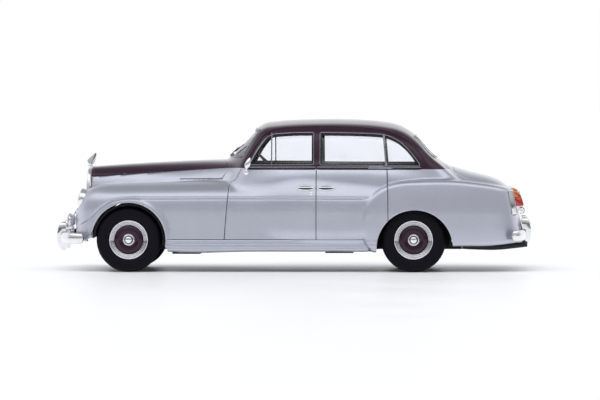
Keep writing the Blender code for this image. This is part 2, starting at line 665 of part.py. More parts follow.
def bar(points_of, foot, head, half_width, low, high):
    """A straight bar across an opening, from foot to head, lying on the body surface."""
    (u0, v0), (u1, v1) = foot, head
    loops = []
    for t in np.linspace(0, 1, 4):
        u, v = u0 + (u1 - u0) * t, v0 + (v1 - v0) * t
        us, vs = np.array([u - half_width, u + half_width] * 2), np.full(4, v)
        low_pair = points_of(us[:2], vs[:2], low)
        high_pair = points_of(us[:2], vs[:2], high)
        loops.append([low_pair[0], low_pair[1], high_pair[1], high_pair[0]])
    return strip(loops)


def make_glazing():
    def front(u, v, lift):
        return end_point(u, v, -1, lift)

    def back(u, v, lift):
        return end_point(u, v, 1, lift)

    place("windscreen", pane(front, WINDSCREEN, -1.3, -0.5), "clear")
    place("rear_window", pane(back, REAR_SCREEN, -1.3, -0.5), "clear")
    place("windscreen_trim", band(front, WINDSCREEN, 0.05, 0.75, 0.38, 0.7), "chrome")
    place("rear_window_trim", band(back, REAR_SCREEN, 0.05, 0.75, 0.2, 0.55), "chrome")
    for side, s in SIDES.items():
        def beside(u, v, lift, s=s):
            return side_point(u, v, s, lift)

        place(f"side_glazing_{side}", pane(beside, SIDE_GLAZING, -2.8, -2.4), "clear")
        ring = band(beside, FRONT_WINDOW, -0.25, 0.5, 0.14, 0.4)
        frame = place(f"front_window_trim_{side}", ring, "chrome")
        vent = bar(beside, (-5.6, 28.1), (-5.6, 36.4), 0.25, 0.14, 0.4)
        join(frame, place(f"vent_bar_{side}", vent, "chrome"))
        ring = band(beside, REAR_WINDOW, -0.25, 0.5, 0.14, 0.4)
        frame = place(f"rear_window_trim_{side}", ring, "chrome")
        division = bar(beside, (24.6, 27.9), (23.9, 36.0), 0.35, 0.14, 0.4)
        join(frame, place(f"division_bar_{side}", division, "chrome"))


# ---------------------------------------------------------------- brightwork and lamps

def bumper_blade(front, corner, end, height, nose, rise):
    """A bumper blade swept round a rounded plan, thicker in the middle of its height."""
    loops = []
    section = [(0.0, -0.5), (0.62, -0.32), (0.8, 0.0), (0.62, 0.32), (0.0, 0.5), (-0.1, 0.3), (-0.1, -0.3)]
    for t in np.linspace(-1, 1, 25):
        y = corner * math.copysign(1 - (1 - abs(t)) ** 1.35, t)
        along = abs(y) / corner
        x = front + (end - front) * along ** 4.5
        slope = (end - front) * 4.5 * along ** 3.5 / corner * math.copysign(1, y)
        out = np.array([-1.0, slope]) if nose < 0 else np.array([1.0, -slope])
        out = out / np.linalg.norm(out)
        shrink = 1 - 0.45 * max(0, along - 0.9) / 0.1
        loops.append([(x + out[0] * d, y + out[1] * d, BUMPER_Z + rise + height * shrink * h)
                      for d, h in section])
    return strip(loops)


def make_bumpers():
    height = BUMPER_TOP - BUMPER_BOTTOM
    front = place("front_bumper", bumper_blade(-61.2, 21.0, -54.4, height, -1, 0.0), "chrome")
    rear = place("rear_bumper", bumper_blade(61.0, 20.4, 57.4, height, 1, REAR_BUMPER_RISE), "chrome")
    for blade, x, reach in ((front, -61.2, 4.2), (rear, 61.0, -3.4)):
        for side, s in SIDES.items():
            middle = x + reach / 2
            iron = box((abs(reach), 1.4, 0.6), (middle, IRON_Y * s, 7.2))
            tab_z = 7.7 if x < 0 else 8.0
            tab = box((0.6, 1.4, 1.6), (x + math.copysign(0.2, reach), IRON_Y * s, tab_z))
            join(blade, place(f"{blade.name}_iron_{side}", iron, "chrome"))
            join(blade, place(f"{blade.name}_tab_{side}", tab, "chrome"))
    guards = (("front", -OVERRIDER_TIP_X, 1, 5.4, 13.0), ("rear", OVERRIDER_TIP_X, -1, 6.8, 14.3))
    for end, x, way, low, high in guards:
        for side, s in SIDES.items():
            outline = rounded([(x + 0.9 * way, low, 0.6), (x, low + 2.6, 1.8),
                               (x, high - 2.6, 1.8), (x + 1.0 * way, high, 0.8),
                               (x + 2.3 * way, high - 0.1, 0.3), (x + 2.2 * way, low + 0.1, 0.3)], 3)
            middle_y = s * OVERRIDER_Y
            guard = place(f"overrider_{end}_{side}", prism(outline, middle_y - 1.0, middle_y + 1.0), "chrome")
            z = BUMPER_Z + (REAR_BUMPER_RISE if end == "rear" else 0)
            notch = box((3.0, 3, height + 0.16), (x + way * (0.72 + 1.5), middle_y, z))
            cut(guard, place(f"overrider_notch_{end}_{side}", notch, "steel"))


def grille_outline(inset, foot):
    """The radiator shell from the front: straight sides and a gently arched top, as (y, z) points."""
    half, rise = 8.1 - inset, 13.4 - inset
    top = []
    for turn in np.radians(np.linspace(0, 180, 19)):
        across, up = math.cos(turn), math.sin(turn)
        top.append((half * math.copysign(abs(across) ** 0.5, across), 14 + rise * up ** 0.5))
    return [(-half, foot), (half, foot)] + top


def make_grille():
    """An upright radiator shell with rounded shoulders and an open grid of bars."""
    top, foot = 27.4, 9.6
    front, back, wall = -54.95, -54.0, 1.1

    def lean(z):
        return -0.05 * (top - z)

    loops = [[(depth + lean(z), y, z) for y, z in grille_outline(inset, foot + inset)]
             for depth, inset in ((back, 0.0), (front + 0.35, 0.0), (front, 0.35))]
    shell = place("radiator_grille", strip(loops), "chrome")
    loops = [[(depth + lean(z), y, z) for y, z in grille_outline(wall, foot + wall)]
             for depth in (front - 3, front + 0.8)]
    cut(shell, place("grille_recess", strip(loops), "steel"))
    for i in range(7):
        y = (i - 3) * 1.9
        high = top - 0.75 - 0.0006 * y ** 4
        bars = strip([[(x + lean(z), y + side * 0.22, z) for x, side in
                       ((front + 0.9, 1), (front + 0.3, 1), (front + 0.3, -1), (front + 0.9, -1))]
                      for z in (foot + 0.8, high)])
        join(shell, place(f"grille_bar_{i}", bars, "chrome"))
    for i in range(6):
        z = foot + 3.0 + i * 2.3
        rung = box((0.5, 14.6, 0.3), (front + 0.7 + lean(z), 0, z))
        join(shell, place(f"grille_rung_{i}", rung, "chrome"))


def make_mascot():
    """A plain swept fin on a round foot, standing on top of the radiator shell."""
    fin = [[(-55.0, -0.45, 27.46), (-54.1, -0.45, 27.46), (-54.1, 0.45, 27.46), (-55.0, 0.45, 27.46)],
           [(-55.3, -0.3, 28.4), (-54.6, -0.3, 28.4), (-54.6, 0.3, 28.4), (-55.3, 0.3, 28.4)],
           [(-55.6, -0.25, 29.4), (-53.9, -0.25, 29.7), (-53.9, 0.25, 29.7), (-55.6, 0.25, 29.4)],
           [(-55.0, -0.12, 30.6), (-53.3, -0.12, 31.0), (-53.3, 0.12, 31.0), (-55.0, 0.12, 30.6)]]
    mascot = place("mascot", strip(fin), "chrome")
    foot = box((1.4, 1.4, 0.4), (-54.6, 0, 27.68), 0.12)
    join(mascot, place("mascot_foot", foot, "chrome"))


def lamp(name, profile, at, finish, outward=0.0, upward=0.0, steps=20):
    """A lamp turned about a fore-and-aft axis, aimed outward and upward in degrees."""
    obj = place(name, turned(profile, steps), finish, at)
    obj.rotation_euler = (math.radians(upward), 0, math.radians(90 + outward))
    return obj


def make_lamps(body_cutters):
    for side, s in SIDES.items():
        head = (HEADLAMP[0], s * HEADLAMP[1], HEADLAMP[2])
        aim = (4 * s, HEADLAMP_TILT)
        bezel = [(2.0, -1.6), (2.55, -1.6), (2.8, 0.6), (2.95, 1.7), (2.7, 2.15), (2.3, 2.1), (2.3, 0.4),
                 (0, -0.4), (0, -1.6)]
        lamp(f"headlamp_{side}", bezel, head, "chrome", *aim)
        lens = [(0, 1.9), (1.2, 1.9), (2.22, 1.7), (2.22, 2.1), (1.6, 2.5), (0.8, 2.75), (0, 2.8)]
        lamp(f"headlamp_lens_{side}", lens, head, "clear", *aim)
        pocket = [(0, -1.75), (2.1, -1.75), (2.66, -1.7), (2.94, 0.6), (3.06, 1.8), (3.06, 4.0), (0, 4.0)]
        body_cutters.append(lamp(f"headlamp_pocket_{side}", pocket, head, "steel", *aim))
        fog = [(0, 0), (0.9, 0.1), (1.6, 0.7), (1.9, 1.3), (1.9, 1.7), (1.6, 2.0), (0.8, 2.2), (0, 2.25)]
        lamp(f"fog_lamp_{side}", fog, (-57.75, s * 11.4, 13.4), "chrome", steps=16)
        tail = rounded([(57.5, 15.0, 0.5), (56.5, 21.7, 0.8), (59.6, 21.1, 1.4), (60.9, 17.2, 1.0),
                        (60.9, 15.0, 0.8)])
        middle = s * TAIL_LAMP_Y
        place(f"tail_lamp_{side}", prism(tail, middle - 1.3, middle + 1.3), "red_lens")
        seat = prism(grown(tail, 0.1), middle - 1.4, middle + 1.4)
        body_cutters.append(place(f"tail_lamp_seat_{side}", seat, "steel"))


def make_handle(name, x0, x1, side):
    """A door handle laid along the flank, thickest in its middle."""
    loops = []
    for t in np.linspace(0, 1, 6):
        half = 0.18 + 0.2 * math.sin(math.pi * t)
        z = HANDLE_Z + np.array([-half, half, half * 0.6, -half * 0.6])
        lifts = (0.2, 0.2, 0.6, 0.6)
        loops.append([side_point(x0 + t * (x1 - x0), high, side, lift) for high, lift in zip(z, lifts)])
    place(name, strip(loops), "chrome")


def make_mirror(tag, side):
    """A door mirror: a round stalk that leans outwards, and its head."""
    x, y, z = side_point(*MIRROR_FOOT, side, 0.08)
    rings = [(0, 0, 0, 0.5, 0.5), (0, 0.5, 1.0, 0.25, 0.25), (0.3, 0.9, 2.4, 0.3, 0.45)]
    loops = [[(x + back + a, y + out * side, z + up + b * tall / wide)
              for a, b in arc((0, 0), wide, 0, 315, 7)] for back, out, up, wide, tall in rings]
    stalk = place(f"door_mirror_{tag}", strip(loops), "chrome")
    head = prism(rounded([(-0.7, -1.3, 0.6), (-0.7, 1.3, 0.8), (0.7, 1.5, 0.8), (0.9, -1.1, 0.8)]), -0.9, 0.9)
    join(stalk, place(f"mirror_head_{tag}", head, "chrome", (x + 0.3, y + 0.9 * side, z + 2.6)))


def make_wiper(tag, side):
    """A wiper arm and blade lying up the windscreen from the scuttle."""
    root, tip = end_point(side * np.array([3.0, 9.5]), np.array([30.6, 32.6]), -1, 1.05)
    across = np.array([0.25, 0.0, 0.25])
    lift = np.array([-0.2, 0.0, 0.2])
    middle = root + (tip - root) * 0.5 + lift
    under, over = -0.4 * lift, 0.8 * lift
    loops = [[p + across + under, p + across + over, p - across + over, p - across + under]
             for p in (root, middle, tip)]
    place(f"wiper_{tag}", strip(loops), "steel")


def make_small_trim():
    for tag, side in SIDES.items():
        make_handle(f"door_handle_front_{tag}", 1.0, 5.9, side)
        make_handle(f"door_handle_rear_{tag}", 6.4, 11.2, side)
        make_mirror(tag, side)
        make_wiper(tag, side)
    place("boot_handle", box((1.0, 3.2, 0.7), (59.6, 0, 20.6), 0.2), "chrome")


def main():
    clear_scene()
    shell, body_cutters = make_body()
    make_base_plate()
    make_screws()
    make_running_gear()
    make_exhaust()
    make_interior()
    make_glazing()
    make_bumpers()
    make_grille()
    make_mascot()
    make_lamps(body_cutters)
    cut(shell, *body_cutters)
    make_small_trim()


main()
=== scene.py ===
"""A 1:43 collector's model of a four-door 1950s saloon, on a white studio floor.

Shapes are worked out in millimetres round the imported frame: the car faces -X, its left side is -Y, +Z is
up, and the origin is on the ground under its middle. Meshes are scaled to metres as they are made.
"""

import math

import bmesh
import bpy
import numpy as np
from mathutils import Matrix, Vector


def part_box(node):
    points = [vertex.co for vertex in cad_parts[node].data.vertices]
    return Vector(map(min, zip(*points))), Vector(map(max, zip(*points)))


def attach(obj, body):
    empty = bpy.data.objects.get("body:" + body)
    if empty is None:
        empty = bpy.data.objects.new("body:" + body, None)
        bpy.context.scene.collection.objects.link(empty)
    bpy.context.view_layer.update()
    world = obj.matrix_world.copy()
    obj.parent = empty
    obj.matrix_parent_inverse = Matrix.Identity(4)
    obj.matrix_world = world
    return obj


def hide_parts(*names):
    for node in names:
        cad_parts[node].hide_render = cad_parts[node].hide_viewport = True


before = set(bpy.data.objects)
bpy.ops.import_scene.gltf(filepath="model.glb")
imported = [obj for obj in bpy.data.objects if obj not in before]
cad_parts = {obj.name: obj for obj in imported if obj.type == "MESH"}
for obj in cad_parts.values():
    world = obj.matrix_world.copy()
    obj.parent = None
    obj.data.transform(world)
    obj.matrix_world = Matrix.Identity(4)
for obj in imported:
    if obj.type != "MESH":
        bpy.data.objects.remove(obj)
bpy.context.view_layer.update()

MM = 0.001
SIDES = {"left": -1, "right": 1}


def cad(node):
    """Lowest and highest corner of a CAD node, in millimetres."""
    return np.array([tuple(corner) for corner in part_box(node)]) / MM


TYRES = {axle: cad(f"tyre_{axle}_left") for axle in ("front", "rear")}
AXLE_X = {axle: corners[:, 0].mean() for axle, corners in TYRES.items()}
WHEEL_Z = TYRES["front"][:, 2].mean()
WHEEL_R = np.ptp(TYRES["front"][:, 2]) / 2
TYRE_W = np.ptp(TYRES["front"][:, 1])
FACE_Y = -TYRES["front"][0, 1]
BODY = cad("body_shell")
SILL_Z = BODY[0, 2]
BELT_Z = 27.0
CENTRE_Z = 11.0
NOSE_X, TAIL_X, TAIL_LEAN = -58.3, 59.9, 0.2
WALL = 1.3
FRONT_ARCH = (AXLE_X["front"], WHEEL_Z, 9.8)
REAR_ARCH = (AXLE_X["rear"] + 0.3, 6.4, 10.0)
# Where the sides begin to close in towards the nose and the tail, and where they are widest.
NOSE_ROOT_X, TAIL_ROOT_X, WAIST_Z = -44, 43, 14.0
RIM_R = 5.12
EXHAUST_Y = -10.5
HANDLE_Z = 22.2
TAIL_LAMP_Y = 15.8
WELD, FINE_WELD = 1e-5, 1e-6

SILVER = (0.52, 0.535, 0.615)
MAROON = (0.021, 0.004, 0.017)
BRIGHT_TRIM = ("chrome", "black", "satin_chrome")

# The camera, in metres, and the strength of each part of the sky.
CAMERA_AT = Vector((0.0406, -1.441, 0.057))
CAMERA_AIM = Vector((0.0014, 0.0, 0.0185))
CAMERA_LENS = 324.6
SKY = {"camera_flag": 0.06, "camera_horizon": 0.5, "camera_softbox": 1.4, "overhead": 0.35,
       "back_horizon": 1.0}


# ---------------------------------------------------------------- curves and body surface (mm)

def curve(*knots):
    """A function for a smooth curve through (place, value) knots, level beyond its ends."""
    place, value = np.array(knots, float).T
    slope = np.gradient(value, place)
    last = len(place) - 2

    def height(at):
        at = np.clip(at, place[0], place[-1])
        i = np.clip(np.searchsorted(place, at) - 1, 0, last)
        span = place[i + 1] - place[i]
        t = (at - place[i]) / span
        rest = 1 - t
        level = (1 + 2 * t) * rest * rest * value[i] + t * t * (3 - 2 * t) * value[i + 1]
        return level + span * t * rest * (rest * slope[i] - t * slope[i + 1])

    return height


def step(t):
    """0 below 0, 1 above 1, and smooth between."""
    t = np.clip(t, 0, 1)
    return t * t * (3 - 2 * t)


def merge(a, b, reach):
    """The union of two signed fields, filleted over reach."""
    h = np.maximum(reach - np.abs(a - b), 0) / reach
    return np.minimum(a, b) - h * h * reach / 4


def overlap(a, b, reach):
    """The intersection of two signed fields, rounded over reach."""
    return -merge(-a, -b, reach)


def bulge(terms, power, size):
    """Signed field of a superellipsoid: negative inside, about a distance near the surface."""
    total = sum(np.abs(term) ** power for term in terms)
    return (total ** (1 / power) - 1) * size


bottom_edge = curve((-57, 8.0), (-53, 7.6), (-40, 6.0), (-33, SILL_Z), (-10, SILL_Z), (10, SILL_Z),
                    (20, SILL_Z), (30, 6.2), (43, 6.9), (52, 7.0), (61, 8.0))
# The height of the feature line, which dives over the front wheel arch and runs level to the rear wing.
crease_height = curve((-58.5, 11.0), (-57, 11.7), (-54.2, 13.4), (-50.8, 16.7), (-47.9, 18.6), (-44.5, 19.35),
                      (-36, 19.45), (20, 19.45))
wing_half_width = curve((-57, 20.0), (-50, 20.6), (-43, 21.0), (-20, 21.0), (0, 20.9), (16, 20.6), (40, 20.2),
                        (55, 18.9), (61, 17.6))
wing_crown = curve((-57, 23.0), (-52, 23.8), (-44, 24.2), (-34, 24.4), (-18, 24.6), (0, 23.6), (14, 22.2),
                   (30, 22.6), (44, 22.6), (58, 21.2))
wing_valley = curve((-54, 1.6), (-40, 1.2), (-20, 0.6), (-5, 0), (30, 0), (58, 0))
rear_wing_half_width = curve((16, 22.05), (34, 22.15), (46, 21.4), (55, 19.7), (61, 17.8))
rear_wing_crown = curve((30, 24.1), (36, 24.3), (42, 24.25), (50, 23.4), (58, 21.9))
centre_half_width = curve((-54, 8.3), (-45, 10.2), (-35, 12.2), (-25, 14.2), (-17, 17.1), (-8, 19.2),
                          (0, 19.8), (25, 19.8), (35, 18.5), (45, 16.0), (55, 13.6), (61, 12))
centre_top = curve((-54, 27.5), (-43, 28.3), (-30, 29.0), (-20, 29.4), (-8, 29.4), (30, 29.3), (36, 29.0),
                   (41, 27.9), (46.7, 26.3), (53, 24.6), (56.5, 23.0), (61, 20.0))
centre_power = curve((-54, 3.8), (-40, 3.4), (-20, 3.4), (-6, 6), (30, 6), (42, 3.4), (61, 3))
fillet_reach = curve((-54, 0.7), (-18, 0.7), (-8, 1.2), (3, 3.5), (16, 4.0), (28, 2.0), (61, 2.0))
roof_crown = curve((-14, 38.4), (-8, 39.2), (-2, 39.8), (6, 40.1), (14, 40.1), (24, 39.4), (32, 37.8))
rear_screen_x = curve((24, 45.0), (28, 40.4), (30.5, 37.3), (34, 34.0), (37.4, 30.8), (41, 27.4))


def groove(distance, width, depth):
    """A rounded groove, as an outward offset."""
    return -depth * np.exp(-(distance / width) ** 2)


def tail_x(z):
    """Where the tail ends at a height. It leans forward as it rises."""
    return TAIL_X - TAIL_LEAN * (z - 11)


def towards_tail(x, z):
    """0 ahead of the tail's curve, rising to 1 at the tail's end."""
    return np.maximum(x - TAIL_ROOT_X, 0) / (tail_x(z) - TAIL_ROOT_X)


def side_relief(x, z):
    """How far the arch lip, feature line and sill steps stand out from the flank at (x, z)."""
    line = groove(z - crease_height(x), 0.27, 0.36) * step((20.5 - x) / 3) * step((x + 58.5) / 3)
    from_arch = np.hypot(x - FRONT_ARCH[0], z - FRONT_ARCH[1]) - FRONT_ARCH[2]
    lip = 0.22 * step((1.25 - from_arch) / 0.5) * step((x + 57) / 4)
    under_doors = step((x + 33.5) / 1) * step((23.5 - x) / 2)
    sill = 0.14 * step((8.5 - z) / 0.3) + 0.1 * step((7.45 - z) / 0.25) - 0.3 * step((6.5 - z) / 0.3)
    return line + lip + sill * under_doors


def wings(x, y, z):
    """The wide lower volume: front wings, doors and sills, closed by a rounded nose and tail."""
    half_width = wing_half_width(x)
    crown = wing_crown(x) - wing_valley(x) * step((16 - np.abs(y)) / 5)
    below = np.maximum(WAIST_Z - z, 0) / (WAIST_Z - bottom_edge(x))
    rise = np.where(z > WAIST_Z, (z - WAIST_Z) / (crown - WAIST_Z), below ** 12)
    nose = NOSE_X + 4.1 * (1 - step((np.abs(y) - 7.6) / 6.4))
    towards_nose = np.maximum(NOSE_ROOT_X - x, 0) / (NOSE_ROOT_X - nose)
    return bulge((y / half_width, rise, towards_nose, towards_tail(x, z)), 4, 12)


def rear_wings(x, y, z):
    """The rear wings, which stand proud of the doors behind a curved front edge."""
    tuck = 0.012 * np.maximum(z - 15, 0) ** 2 + 0.01 * np.maximum(12 - z, 0) ** 2
    side = bulge((y / (rear_wing_half_width(x) - tuck), towards_tail(x, z)), 8, 20)
    side = overlap(side, bottom_edge(x) - z, 1.2)
    ahead = np.maximum(32 - x, 0) / 14
    above = np.maximum(z - 12.5, 0) / 11.6
    corner = bulge((ahead, above), 2.3, 13)
    low_edge = 18.0 + 1.85 * (np.maximum(12.5 - z, 0) / 6.3) ** 2 - x
    crown = z - rear_wing_crown(x)
    edge = np.where(x > 32, np.where(z > 12.5, crown, -9), np.where(z > 12.5, corner, low_edge))
    return overlap(side, edge, 1.4)


def centre_body(x, y, z):
    """The narrower, taller volume along the middle: bonnet, scuttle, door tops and boot."""
    half_width, top, power = centre_half_width(x), centre_top(x), centre_power(x)
    rise = np.where(z > WAIST_Z, (z - WAIST_Z) / (top - WAIST_Z), (WAIST_Z - z) / 5)
    body = bulge((y / half_width, rise), power, 12)
    front_edge = -53.9 - x
    tail_edge = x - tail_x(z) - 0.2
    return overlap(overlap(body, front_edge, 0.5), tail_edge, 4)


def lower_body(x, y, z):
    """Everything below the cabin: wings, doors, bonnet and boot."""
    flank = step((np.abs(y) - 15) / 3) * step((23.5 - z) / 2)
    y = np.abs(y) - side_relief(x, z) * flank
    lower = merge(wings(x, y, z), centre_body(x, y, z), fillet_reach(x))
    return merge(lower, rear_wings(x, y, z), 0.35)


def greenhouse(x, y, z):
    """The cabin above the belt: its sides, roof, windscreen and rear screen surfaces."""
    up = z - BELT_Z
    side = np.abs(y) - (18.2 - 0.17 * up - 0.006 * up * np.abs(up))
    roof = z - (roof_crown(x) - 0.008 * y * y)
    bow = np.maximum(4.5 - 0.3 * (z - 28.75), 0) * (y / 16) ** 2
    screen = (-18.3 + 0.925 * (z - 28.8) + bow - x) * 0.73
    back = (x - (rear_screen_x(z) - 1.2 * (y / 16) ** 2)) * 0.72
    shell = overlap(side, roof, 3.4)
    shell = overlap(shell, screen, 1.6)
    return overlap(overlap(shell, back, 2.4), 20 - z, 1)


def body_field(x, y, z):
    """Signed field of the whole outer body, in millimetres."""
    return merge(lower_body(x, y, z), greenhouse(x, y, z), 0.7)


def outward(points, reach=0.02):
    """Unit normals of the body surface at points."""
    points = np.asarray(points, float)
    slope = [body_field(*np.moveaxis(points + axis * reach, -1, 0))
             - body_field(*np.moveaxis(points - axis * reach, -1, 0)) for axis in np.eye(3)]
    slope = np.stack(slope, -1)
    return slope / np.maximum(np.linalg.norm(slope, axis=-1, keepdims=True), 1e-12)


def on_body(start, heading, lift=0.0, furthest=75.0):
    """Points where rays from inside meet the body surface, found by halving, and moved on by lift."""
    start, heading = np.broadcast_arrays(np.array(start, float), np.array(heading, float))
    near = np.zeros(start.shape[:-1])
    far = np.full(start.shape[:-1], furthest)
    for _ in range(34):
        half = (near + far) / 2
        inside = body_field(*np.moveaxis(start + heading * half[..., None], -1, 0)) < 0
        near, far = np.where(inside, half, near), np.where(inside, far, half)
    return start + heading * (near + lift)[..., None]


def side_point(x, z, side=-1, lift=0.0):
    """The point on the body's side at (x, z)."""
    x, z = np.broadcast_arrays(x, z)
    return on_body(np.stack([x, 0 * x, z], -1), (0, side, 0), lift, 30)


def end_point(y, z, heading, lift=0.0):
    """The point on the front (-1) or rear (+1) of the cabin at (y, z)."""
    y, z = np.broadcast_arrays(y, z)
    return on_body(np.stack([0 * y + 10, y, z], -1), (heading, 0, 0), lift, 60)


def top_point(x, y):
    """The point on top of the body at (x, y)."""
    x, y = np.broadcast_arrays(x, y)
    return on_body(np.stack([x, y, 0 * x + CENTRE_Z], -1), (0, 0, 1), 0.0, 40)


# ---------------------------------------------------------------- materials

class Surface:
    """A material under construction. Lengths of patterns are given in millimetres."""

    def __init__(self, name, colour, roughness=0.4, metallic=0.0, **sockets):
        self.material = bpy.data.materials.new(name)
        self.material.use_nodes = True
        self.tree = self.material.node_tree
        self.shader = self.tree.nodes["Principled BSDF"]
        self.output = self.tree.nodes["Material Output"]
        self.set(Base_Color=(*colour, 1), Roughness=roughness, Metallic=metallic, **sockets)

    def set(self, **sockets):
        """Sets or links sockets of the main shader, named with underscores for spaces."""
        for name, value in sockets.items():
            self.feed(self.shader.inputs[name.replace("_", " ")], value)

    def feed(self, socket, value):
        if isinstance(value, bpy.types.NodeSocket):
            self.tree.links.new(value, socket)
        else:
            socket.default_value = value

    def node(self, kind, inputs=(), **settings):
        """A new shader node with its settings and inputs filled in."""
        made = self.tree.nodes.new("ShaderNode" + kind)
        for name, value in settings.items():
            setattr(made, name, value)
        for name, value in dict(inputs).items():
            self.feed(made.inputs[name], value)
        return made

    def place(self):
        return self.node("TexCoord").outputs["Object"]

    def noise(self, size, detail=3.0, roughness=0.5, stretch=None):
        """Smooth noise with blotches of about a size."""
        place = self.place()
        if stretch:
            place = self.node("Mapping", {"Vector": place, "Scale": stretch}).outputs["Vector"]
        inputs = {"Vector": place, "Scale": 1 / (size * MM), "Detail": detail, "Roughness": roughness}
        return self.node("TexNoise", inputs).outputs["Fac"]

    def cells(self, size, output="Color"):
        """A pattern of irregular cells of a size, each with its own colour."""
        return self.node("TexVoronoi", {"Vector": self.place(), "Scale": 1 / (size * MM)}).outputs[output]

    def math(self, operation, a, b):
        return self.node("Math", {0: a, 1: b}, operation=operation).outputs[0]

    def shade(self, colour, light):
        """A colour made lighter or darker by a factor."""
        return self.node("VectorMath", {0: colour, "Scale": light}, operation="SCALE").outputs[0]

    def span(self, value, low, high, to_low=0.0, to_high=1.0):
        """value mapped from low..high to to_low..to_high, clamped."""
        inputs = {"Value": value, "From Min": low, "From Max": high, "To Min": to_low, "To Max": to_high}
        return self.node("MapRange", inputs).outputs["Result"]

    def blend(self, share, a, b):
        """Colour a where share is 0, b where it is 1."""
        mixed = self.node("Mix", data_type="RGBA")
        self.feed(mixed.inputs["Factor"], share)
        for socket, colour in zip([s for s in mixed.inputs if s.type == "RGBA"], (a, b)):
            self.feed(socket, colour if isinstance(colour, bpy.types.NodeSocket) else (*colour, 1))
        return [s for s in mixed.outputs if s.type == "RGBA"][0]

    def bump(self, height, depth, strength):
        """A bump whose height runs over 0..1 for a depth in millimetres."""
        inputs = {"Height": height, "Distance": depth * MM, "Strength": strength}
        return self.node("Bump", inputs).outputs["Normal"]

    def attribute(self, name):
        return self.node("Attribute", attribute_name=name).outputs["Fac"]


def flake_glints(surface, size=0.09, spread=0.07):
    """Painted glints: small flakes each made lighter or darker, as if each caught the light its own way."""
    flake = surface.node("SeparateColor", {"Color": surface.cells(size)}).outputs["Red"]
    return surface.span(flake, 0, 1, 1 - spread, 1 + spread)


def body_paint():
    """Silver metallic below the split and maroon above it, with painted shade (and some wash) darkening the
    panel gaps, and painted shade inside the casting.
    """
    s = Surface("two_tone_lacquer", SILVER, Specular_IOR_Level=0.1, Coat_Roughness=0.045, Coat_IOR=1.4)
    upper = s.span(s.attribute("above_split"), -0.03, 0.03)
    cloud = s.span(s.noise(9, 2), 0.3, 0.7, 0.97, 1.03)
    # Painted glints on the flakes, times a random cloudiness of the paint.
    light = s.math("MULTIPLY", flake_glints(s), cloud)
    colour = s.blend(upper, s.shade(SILVER, light), s.shade(MAROON, light))
    # Painted shade: the colour darkens with depth below the skin in the panel gaps, where some wash also
    # pools.
    gap_wash_and_shade = s.span(s.attribute("depth"), 0.03, 0.16)
    # inside: painted shade, much darker, on the inner walls of the casting.
    inside = s.span(s.attribute("depth"), 0.5, 0.8)
    colour = s.blend(gap_wash_and_shade, colour, (0.018, 0.018, 0.022))
    colour = s.blend(inside, colour, (0.012, 0.012, 0.013))
    outside_gaps = s.math("SUBTRACT", 1.0, gap_wash_and_shade)
    dust = s.span(s.noise(0.45, 1), 0.79, 0.82)
    peel = s.bump(s.noise(1.6, 2), 0.008, 0.5)
    sparkle = s.bump(s.node("SeparateColor", {"Color": s.cells(0.09)}).outputs["Green"], 0.005, 0.3)
    s.set(Base_Color=s.blend(s.math("MULTIPLY", dust, 0.5), colour, (0.8, 0.8, 0.82)),
          Metallic=s.math("MULTIPLY", s.span(upper, 0, 1, 0.85, 0.2), outside_gaps),
          Roughness=s.span(upper, 0, 1, 0.34, 0.32), Coat_Weight=outside_gaps, Coat_Normal=peel, Normal=sparkle)
    return s.material


def maroon_lacquer():
    """The same maroon for the wheel covers and drip rails, with a finer orange peel."""
    s = Surface("maroon_lacquer", MAROON, 0.3, 0.2, Specular_IOR_Level=0.1, Coat_Weight=0.6,
                Coat_Roughness=0.04)
    # Painted glints on the flakes, times random blotches.
    light = s.math("MULTIPLY", flake_glints(s), s.span(s.noise(5, 2), 0.3, 0.7, 0.9, 1.1))
    s.set(Base_Color=s.shade(MAROON, light), Coat_Normal=s.bump(s.noise(0.6, 2), 0.01, 0.5))
    return s.material


def chrome(name="chrome", roughness=0.07, tint=(0.88, 0.885, 0.905)):
    """Plated zinc: bright, with a slight waviness and faint cloudy wear."""
    s = Surface(name, tint, roughness, 1.0)
    haze = s.noise(1.6, 4)
    s.set(Roughness=s.span(haze, 0.35, 0.75, roughness, roughness + 0.1),
          Base_Color=s.blend(s.span(haze, 0.5, 0.8), tint, tuple(0.9 * c for c in tint)),
          Normal=s.bump(s.noise(1.1, 2), 0.006, 0.5))
    return s.material


def rubber():
    """Matt black rubber with moulding speckle and a little dust."""
    s = Surface("tyre_rubber", (0.02, 0.02, 0.024), 0.62, Specular_IOR_Level=0.12)
    dust = s.span(s.noise(1.2, 5, 0.65), 0.55, 0.8, 0.0, 0.35)
    s.set(Base_Color=s.blend(dust, (0.003, 0.0025, 0.006), (0.012, 0.011, 0.016)),
          Roughness=s.span(dust, 0, 0.35, 0.52, 0.72), Normal=s.bump(s.noise(0.12, 3), 0.02, 0.5))
    return s.material


def moulded(name, colour, roughness=0.45, grain=0.25, depth=0.02):
    """Moulded plastic with fine grain and slight mottling."""
    s = Surface(name, colour, roughness, Specular_IOR_Level=0.3)
    mottle = s.noise(2.4, 4)
    s.set(Base_Color=s.blend(s.span(mottle, 0.35, 0.7), tuple(0.8 * c for c in colour),
                             tuple(min(1.0, 1.25 * c + 0.003) for c in colour)),
          Roughness=s.span(mottle, 0.3, 0.7, roughness - 0.06, roughness + 0.1),
          Normal=s.bump(s.noise(grain, 3), depth, 0.6))
    return s.material


def turned_steel():
    """Steel with fine rings left by turning."""
    s = Surface("turned_steel", (0.58, 0.58, 0.6), 0.28, 1.0)
    rings = s.noise(0.25, 2, stretch=(0.15, 1.0, 0.15))
    s.set(Roughness=s.span(rings, 0.3, 0.7, 0.2, 0.42), Normal=s.bump(rings, 0.01, 0.6))
    return s.material


